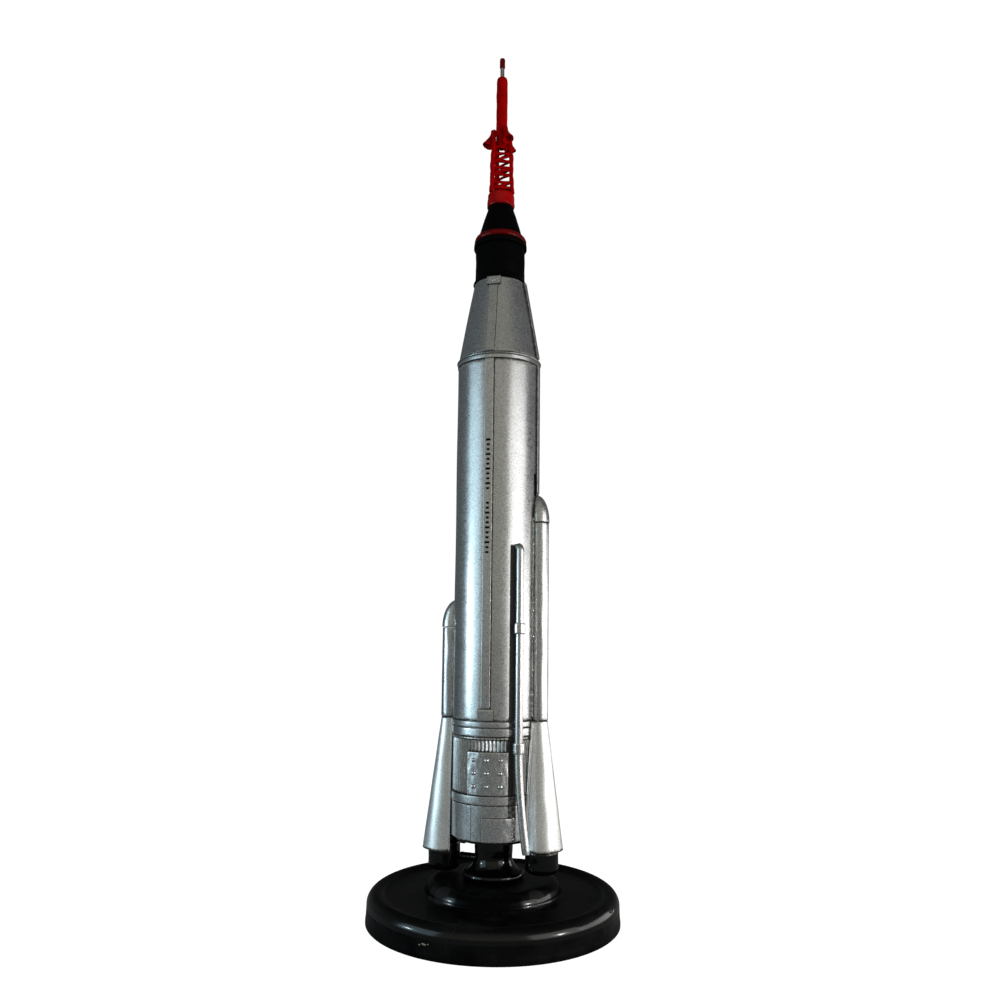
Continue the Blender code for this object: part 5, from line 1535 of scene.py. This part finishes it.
@dataclass
class Capsule(Assembly):
    """Black adapter and capsule with its red ring, and the glossy red collar."""

    paint: Paintbox
    body: Body = Body.ROCKET
    adapter_radius: float = 14.8 * MM
    flare: float = 3.6 * MM
    cone_radius: float = 13.5 * MM
    wall: float = 1.0 * MM
    top_radius: float = 7.7 * MM

    def build(self) -> None:
        """Adds the pieces from the adapter up."""
        self.adapter()
        self.capsule()
        self.hoop()
        self.collar()

    def adapter(self) -> None:
        """The short cylinder over the nose plate, flared at its foot."""
        span = Span.of("capsule_adapter")
        foot, radius, inner = span.radius, self.adapter_radius, self.adapter_radius - self.wall
        outline = profile((0.0, span.top), (radius, span.top), (radius, span.bottom + self.flare),
                          (radius + 0.3 * MM, span.bottom + 0.55 * self.flare),
                          (foot, span.bottom + 0.5 * MM), (foot, span.bottom), (inner, span.bottom),
                          (inner, span.top - self.wall),
                          (0.0, span.top - self.wall))
        outline = divided(eased(outline, 0.5 * MM, False), 1.0 * MM, False)
        self.add("adapter_shell", turned(outline, 160, False, beaten(0.20 * MM, 101, 12 * MM)),
                 CAPSULE_BLACK, "capsule_adapter")

    def capsule(self) -> None:
        """The cone with a step under the ring."""
        span, ring = Span.of("capsule_body"), Span.of("capsule_ring")
        edge, cone = span.radius, self.cone_radius
        step = ring.bottom - GAP
        low = ring.top + GAP
        outline = profile((0.0, span.top), (self.top_radius, span.top), (cone, low), (cone, step),
                          (edge, step), (edge, span.bottom), (cone - self.wall, span.bottom),
                          (cone - self.wall, low), (self.top_radius - self.wall, span.top - self.wall),
                          (0.0, span.top - self.wall))
        outline = divided(eased(outline, 0.45 * MM, False), 1.0 * MM, False)
        self.add("capsule_shell", turned(outline, 160, False, beaten(0.20 * MM, 102, 11 * MM)),
                 CAPSULE_BLACK, "capsule_body")

    def hoop(self) -> None:
        """The red ring round the cone's foot."""
        ring = Span.of("capsule_ring")
        radius, inner = ring.radius, self.cone_radius + GAP
        outline = profile((inner, ring.top), (radius - 0.9 * MM, ring.top), (radius, ring.top - 1.5 * MM),
                          (radius, ring.bottom + 0.9 * MM), (radius - 0.5 * MM, ring.bottom),
                          (inner, ring.bottom))
        self.add("capsule_hoop", turned(divided(eased(outline, 1.0 * MM), 0.6 * MM), 160, True,
                                        beaten(0.30 * MM, 103, 6 * MM), (ring.bottom, ring.top), 0.4 * MM),
                 RING_RED, "capsule_ring")

    def collar(self) -> None:
        """The red collar that the tower stands on."""
        span = Span.of("tower_collar")
        foot, head = span.radius, span.radius - 0.4 * MM
        outline = profile((0.0, span.top), (head, span.top), (head + 0.1 * MM, span.bottom + 3.4 * MM),
                          (foot, span.bottom + 1.6 * MM), (foot - 0.3 * MM, span.bottom), (0.0, span.bottom))
        self.add("collar_cup", turned(divided(eased(outline, 1.2 * MM, False), 0.6 * MM, False), 128, False,
                                      beaten(0.36 * MM, 104, 7 * MM), (span.bottom,), 0.5 * MM),
                 COLLAR_RED, "tower_collar")


# Escape tower

@dataclass
class Tower(Assembly):
    """Three legs laced with bent wire, the motor with its nozzles, and the tip."""

    paint: Paintbox
    body: Body = Body.ROCKET
    leg_radius: float = 1.3 * MM
    leg_foot: float = 7.0 * MM
    leg_head: float = 5.4 * MM
    azimuths: tuple = (-36.0, 97.0, -133.0)
    motor_radius: float = 3.5 * MM
    lace_radius: float = 0.75 * MM
    joint_radius: float = 1.15 * MM
    bays: int = 6
    bay_rise: float = 0.118
    nozzle_azimuths: dict = field(default_factory=lambda: {"left": -69.0, "right": 50.0, "rear": 158.0})
    nozzle_cant: float = 23.0
    nozzle_length: float = 11.0 * MM
    nozzle_root: float = 11.3 * MM
    throat: float = 1.45 * MM
    nozzle_lip: float = 3.3 * MM
    # azimuth in degrees, then height over the motor's foot and radius in millimetres
    collar_drops: tuple = ((0.0, 8.6, 1.5), (-120.0, 7.4, 1.4), (118.0, 8.0, 1.5),
                           (30.0, 3.2, 1.3), (-40.0, 2.6, 1.2), (90.0, -1.5, 1.1))

    def leg_point(self, azimuth: float, share: float) -> Array:
        """A point on a leg's middle line at a share of its height."""
        span = Span.of("tower_front_leg")
        radius = self.leg_foot + (self.leg_head - self.leg_foot) * share
        return point(radius, azimuth, span.bottom + span.height * share)

    def legs(self) -> None:
        """Each leg a slightly bent wire."""
        for number, (name, azimuth) in enumerate(zip(("front", "right", "rear"), self.azimuths)):
            share = np.linspace(0.0, 1.0, 40)
            foot, head = self.leg_point(azimuth, 0.004), self.leg_point(azimuth, 0.995)
            path = foot + (head - foot) * share[:, None]
            bow = 0.22 * MM * np.sin(share * 9.0 + number * 2.1) * np.sin(share * math.pi)
            path[:, 0] += bow
            path[:, 1] += bow * 0.6
            radii = self.leg_radius * (1 + 0.10 * np.sin(share * 31.0 + number))
            self.add(f"tower_leg_{name}", swept(path, radii, 18), TOWER_RED, f"tower_{name}_leg")

    def lacing(self) -> None:
        """Rungs and slanting wires between neighbouring legs, with a drop of solder at each joint."""
        rng = np.random.default_rng(7)
        wires, drops = [], []
        legs = len(self.azimuths)
        for bay in range(self.bays + 1):
            for leg in range(legs):
                share = 0.085 + bay * self.bay_rise + rng.uniform(-0.012, 0.012)
                here = self.leg_point(self.azimuths[leg], share)
                beside = self.leg_point(self.azimuths[(leg + 1) % legs], share + rng.uniform(-0.02, 0.02))
                wires.append(self.tie(here, beside, rng))
                size = (self.joint_radius, self.joint_radius, rng.uniform(0.9, 1.5) * MM)
                drops.append(blob(here, size, 300 + bay * legs + leg, 12))
                if bay < self.bays:
                    above = self.leg_point(self.azimuths[(leg + 1 + bay % 2) % legs], share + self.bay_rise)
                    other = self.leg_point(self.azimuths[(leg + bay % 2 * 2) % legs], share)
                    wires.append(self.tie(other if bay % 2 else here, above, rng))
        self.add("tower_ties", joined(wires), TOWER_RED, "tower_lacing")
        self.add("tower_solder", joined(drops), TOWER_RED)

    def tie(self, start: Array, end: Array, rng: np.random.Generator) -> Shape:
        """One wire that bows a little away from the straight line between two joints."""
        share = np.linspace(0.0, 1.0, 14)[:, None]
        bow = rng.uniform(-0.5, 0.9, 3) * MM * np.array([1.0, 1.0, 0.6])
        path = start + (end - start) * share + bow * np.sin(share * math.pi)
        return swept(path, self.lace_radius * rng.uniform(0.85, 1.25), 10)

    def motor(self) -> None:
        """The tube with its shoulder and a few dents, the rod and the tip."""
        span, cap, rod = Span.of("escape_motor"), Span.of("tip_cap"), Span.of("tip_rod")
        radius = self.motor_radius
        outline = profile((0.0, span.top - 0.3 * MM), (1.3 * MM, span.top), (2.5 * MM, span.top - 0.3 * MM),
                          (3.0 * MM, span.top - 1.0 * MM), (radius, span.top - 2.8 * MM),
                          (radius, span.bottom + 0.8 * MM), (radius - 0.8 * MM, span.bottom),
                          (0.0, span.bottom))

        def dents(azimuth: Array, level: Array) -> Array:
            """Waviness, and hollows at a few places: -depth exp(-distance^2)."""
            total = beaten(0.20 * MM, 111, 14 * MM)(azimuth, level)
            for at, height, depth in ((-20.0, 6.5, 0.30), (60.0, 5.6, 0.35), (10.0, 30.0, 0.15)):
                around = np.angle(np.exp(1j * (azimuth - math.radians(at)))) * radius / (1.3 * MM)
                along = (level - (span.top - height * MM)) / (1.6 * MM)
                total = total - depth * MM * np.exp(-around ** 2 - along ** 2)
            return total

        outline = divided(eased(outline, 1.0 * MM, False), 0.6 * MM, False)
        self.add("motor_tube", turned(outline, 72, False, dents), TOWER_RED, "escape_motor")
        bore = rod.radius
        outline = profile((0.0, rod.top), (bore, rod.top), (bore, rod.bottom), (0.0, rod.bottom))
        self.add("tip_stem", turned(divided(eased(outline, 0.2 * MM, False), 0.8 * MM, False), 32, False,
                                    beaten(0.12 * MM, 112, 3 * MM)), STEEL, "tip_rod")
        edge = cap.radius
        outline = profile((0.0, cap.top), (edge * 0.85, cap.top), (edge, cap.top - 0.5 * MM),
                          (edge, cap.bottom), (0.0, cap.bottom))
        self.add("tip_knob", turned(divided(eased(outline, 0.35 * MM, False), 0.5 * MM, False), 40, False,
                                    beaten(0.12 * MM, 113, 4 * MM)), RING_RED, "tip_cap")

    def nozzles(self) -> None:
        """Three canted bells with rolled lips, and the collar of solder that holds them."""
        length, throat, lip = self.nozzle_length, self.throat, self.nozzle_lip
        foot = Span.of("escape_motor").bottom
        outline = profile((0.0, 0.0), (throat * 0.9, 0.0), (throat, -0.5 * MM),
                          (throat * 0.95, -0.42 * length), (throat * 1.35, -0.62 * length),
                          (lip - 0.45 * MM, -0.86 * length), (lip, -0.92 * length),
                          (lip, -0.985 * length), (lip - 0.3 * MM, -length),
                          (lip - 0.7 * MM, -0.95 * length), (0.55 * throat, -0.62 * length),
                          (0.0, -0.6 * length))
        shape = turned(divided(eased(outline, 0.5 * MM, False), 0.4 * MM, False), 48, False)
        offset = self.motor_radius + 0.6 * throat
        drops = []
        for number, (name, azimuth) in enumerate(self.nozzle_azimuths.items()):
            turn = Matrix.Rotation(math.radians(azimuth), 4, "Z")
            cant = Matrix.Rotation(math.radians(-self.nozzle_cant), 4, "X")
            place = Matrix.Translation(Vector(point(offset, azimuth, foot + self.nozzle_root))) @ turn @ cant
            self.add(name + "_nozzle_bell", shape.moved(place), TOWER_RED, name + "_nozzle")
            centre = np.array(place @ Vector((0.0, 0.0, -1.2 * MM)))
            drops.append(blob(centre, (1.7 * MM, 1.7 * MM, 1.9 * MM), 400 + number, 18))
        for number, (azimuth, rise, size) in enumerate(self.collar_drops):
            centre = point(2.9 * MM, azimuth, foot + rise * MM)
            drops.append(blob(centre, (size * MM, size * MM, 1.1 * size * MM), 420 + number, 16))
        self.add("nozzle_solder", joined(drops), TOWER_RED)

    def build(self) -> None:
        """Adds the tower."""
        self.legs()
        self.lacing()
        self.motor()
        self.nozzles()


# Studio

@dataclass(frozen=True)
class Softbox:
    """A tall panel of light that faces the rocket."""

    name: str
    azimuth: float
    distance: float
    width: float
    height: float
    centre: float
    radiance: float
    colour: tuple
    shape: str = "RECTANGLE"

    def build(self) -> None:
        """Adds the light; its power is radiance * pi * area."""
        light = bpy.data.lights.new(self.name, "AREA")
        light.shape = self.shape
        light.size, light.size_y = self.width, self.height
        light.energy = self.radiance * math.pi * self.width * self.height
        light.color = self.colour
        obj = bpy.data.objects.new(self.name, light)
        obj.location = point(self.distance, self.azimuth, self.centre)
        aim = Vector((0.0, 0.0, self.centre)) - obj.location
        obj.rotation_euler = aim.to_track_quat("-Z", "Y").to_euler()
        obj.visible_camera = False
        bpy.context.scene.collection.objects.link(obj)


@dataclass
class Studio:
    """Camera, floor, softboxes and the surrounding light."""

    azimuth: float = 22.0
    distance: float = 0.4818
    height: float = 0.1536
    pitch: float = 6.16
    roll: float = 0.65
    lens: float = 30.1
    shift: tuple = (0.003, 0.05)
    near: tuple = (0.385, 0.37, 0.315)
    far: tuple = (0.085, 0.088, 0.090)
    boxes: tuple = (
        Softbox("cool_box", -45.0, 0.95, 0.66, 0.86, 0.20, 1.62, (0.62, 0.88, 1.0)),
        Softbox("warm_box", 78.0, 0.95, 0.86, 0.86, 0.20, 1.72, (1.0, 0.985, 0.955)),
        Softbox("side_box", 122.0, 0.70, 0.60, 0.34, 0.10, 2.40, (1.0, 0.985, 0.955)),
        Softbox("cool_lamp", -53.0, 0.90, 0.075, 0.075, 0.17, 60.0, (0.70, 0.90, 1.0), "ELLIPSE"),
        Softbox("warm_lamp", 80.0, 0.90, 0.075, 0.075, 0.17, 80.0, (1.0, 0.985, 0.96), "ELLIPSE"),
    )

    def camera(self) -> None:
        """A camera a little above the stand that looks up along the rocket."""
        data = bpy.data.cameras.new("camera")
        data.lens = self.lens
        data.sensor_width = 36.0
        data.shift_x, data.shift_y = self.shift
        data.clip_start, data.clip_end = 0.02, 20.0
        obj = bpy.data.objects.new("camera", data)
        turn = math.radians(self.azimuth)
        place = Matrix.Translation(Vector(point(self.distance, self.azimuth, self.height)))
        obj.matrix_world = (place @ Matrix.Rotation(turn, 4, "Z")
                            @ Matrix.Rotation(math.radians(90.0 + self.pitch), 4, "X")
                            @ Matrix.Rotation(math.radians(self.roll), 4, "Z"))
        bpy.context.scene.collection.objects.link(obj)
        bpy.context.scene.camera = obj

    def floor(self) -> None:
        """A wide pale floor."""
        side = 6.0
        mesh = bpy.data.meshes.new("floor")
        mesh.from_pydata([(-side, -side, 0.0), (side, -side, 0.0), (side, side, 0.0), (-side, side, 0.0)],
                         [], [(0, 1, 2, 3)])
        material = bpy.data.materials.new("floor_pale")
        tree = Tree(material)
        seen = tree.node("ShaderNodeLightPath", output="Is Camera Ray")
        cloud = tree.noise(tree.place(), 0.5, 2.0)
        paper = tree.node("ShaderNodeBsdfDiffuse", None,
                          {"Color": tree.blend(cloud, (0.40, 0.40, 0.40), (0.44, 0.44, 0.44))})
        glow = tree.node("ShaderNodeEmission", None, {"Color": (1.0, 1.0, 1.0, 1.0), "Strength": seen * 1.0})
        tree.node_output(tree.node("ShaderNodeAddShader", None, {0: paper, 1: glow}))
        mesh.materials.append(material)
        obj = bpy.data.objects.new("floor", mesh)
        bpy.context.scene.collection.objects.link(obj)

    def surround(self) -> None:
        """White to the camera; for the light that falls on the model, grey in front and dim behind."""
        world = bpy.data.worlds.new("studio")
        bpy.context.scene.world = world
        tree = Tree(world)
        ray = tree.node("ShaderNodeTexCoord", output="Generated")
        turn = math.radians(self.azimuth)
        front = tree.node("ShaderNodeVectorMath", {"operation": "DOT_PRODUCT"},
                          {0: ray, 1: (math.sin(turn), -math.cos(turn), 0.0)}, "Value")
        share = front.rise(0.25, 1.0)
        light = tree.blend(share, self.far, self.near)
        seen = tree.node("ShaderNodeLightPath", output="Is Camera Ray")
        colour = tree.blend(seen, light, (1.02, 1.02, 1.02))
        back = tree.node("ShaderNodeBackground", None, {"Color": colour, "Strength": 1.0})
        out = tree.nodes.new("ShaderNodeOutputWorld")
        tree.links.new(back.socket, out.inputs["Surface"])

    def build(self) -> None:
        """Adds everything round the model."""
        self.camera()
        self.floor()
        for box in self.boxes:
            box.build()
        self.surround()
        bpy.context.scene.view_settings.view_transform = "Standard"


def main() -> None:
    """Builds the assemblies from the stand up, then the studio."""
    logging.basicConfig(level=logging.INFO, format="%(name)s: %(message)s")
    paint = Paintbox()
    for kind in (Stand, Engines, ThrustSection, Tank, Pods, Fairings, FeedTube, Capsule, Tower):
        LOG.info("building %s", kind.__name__)
        kind(paint).build()
    Studio().build()


if __name__ == "__main__":
    main()
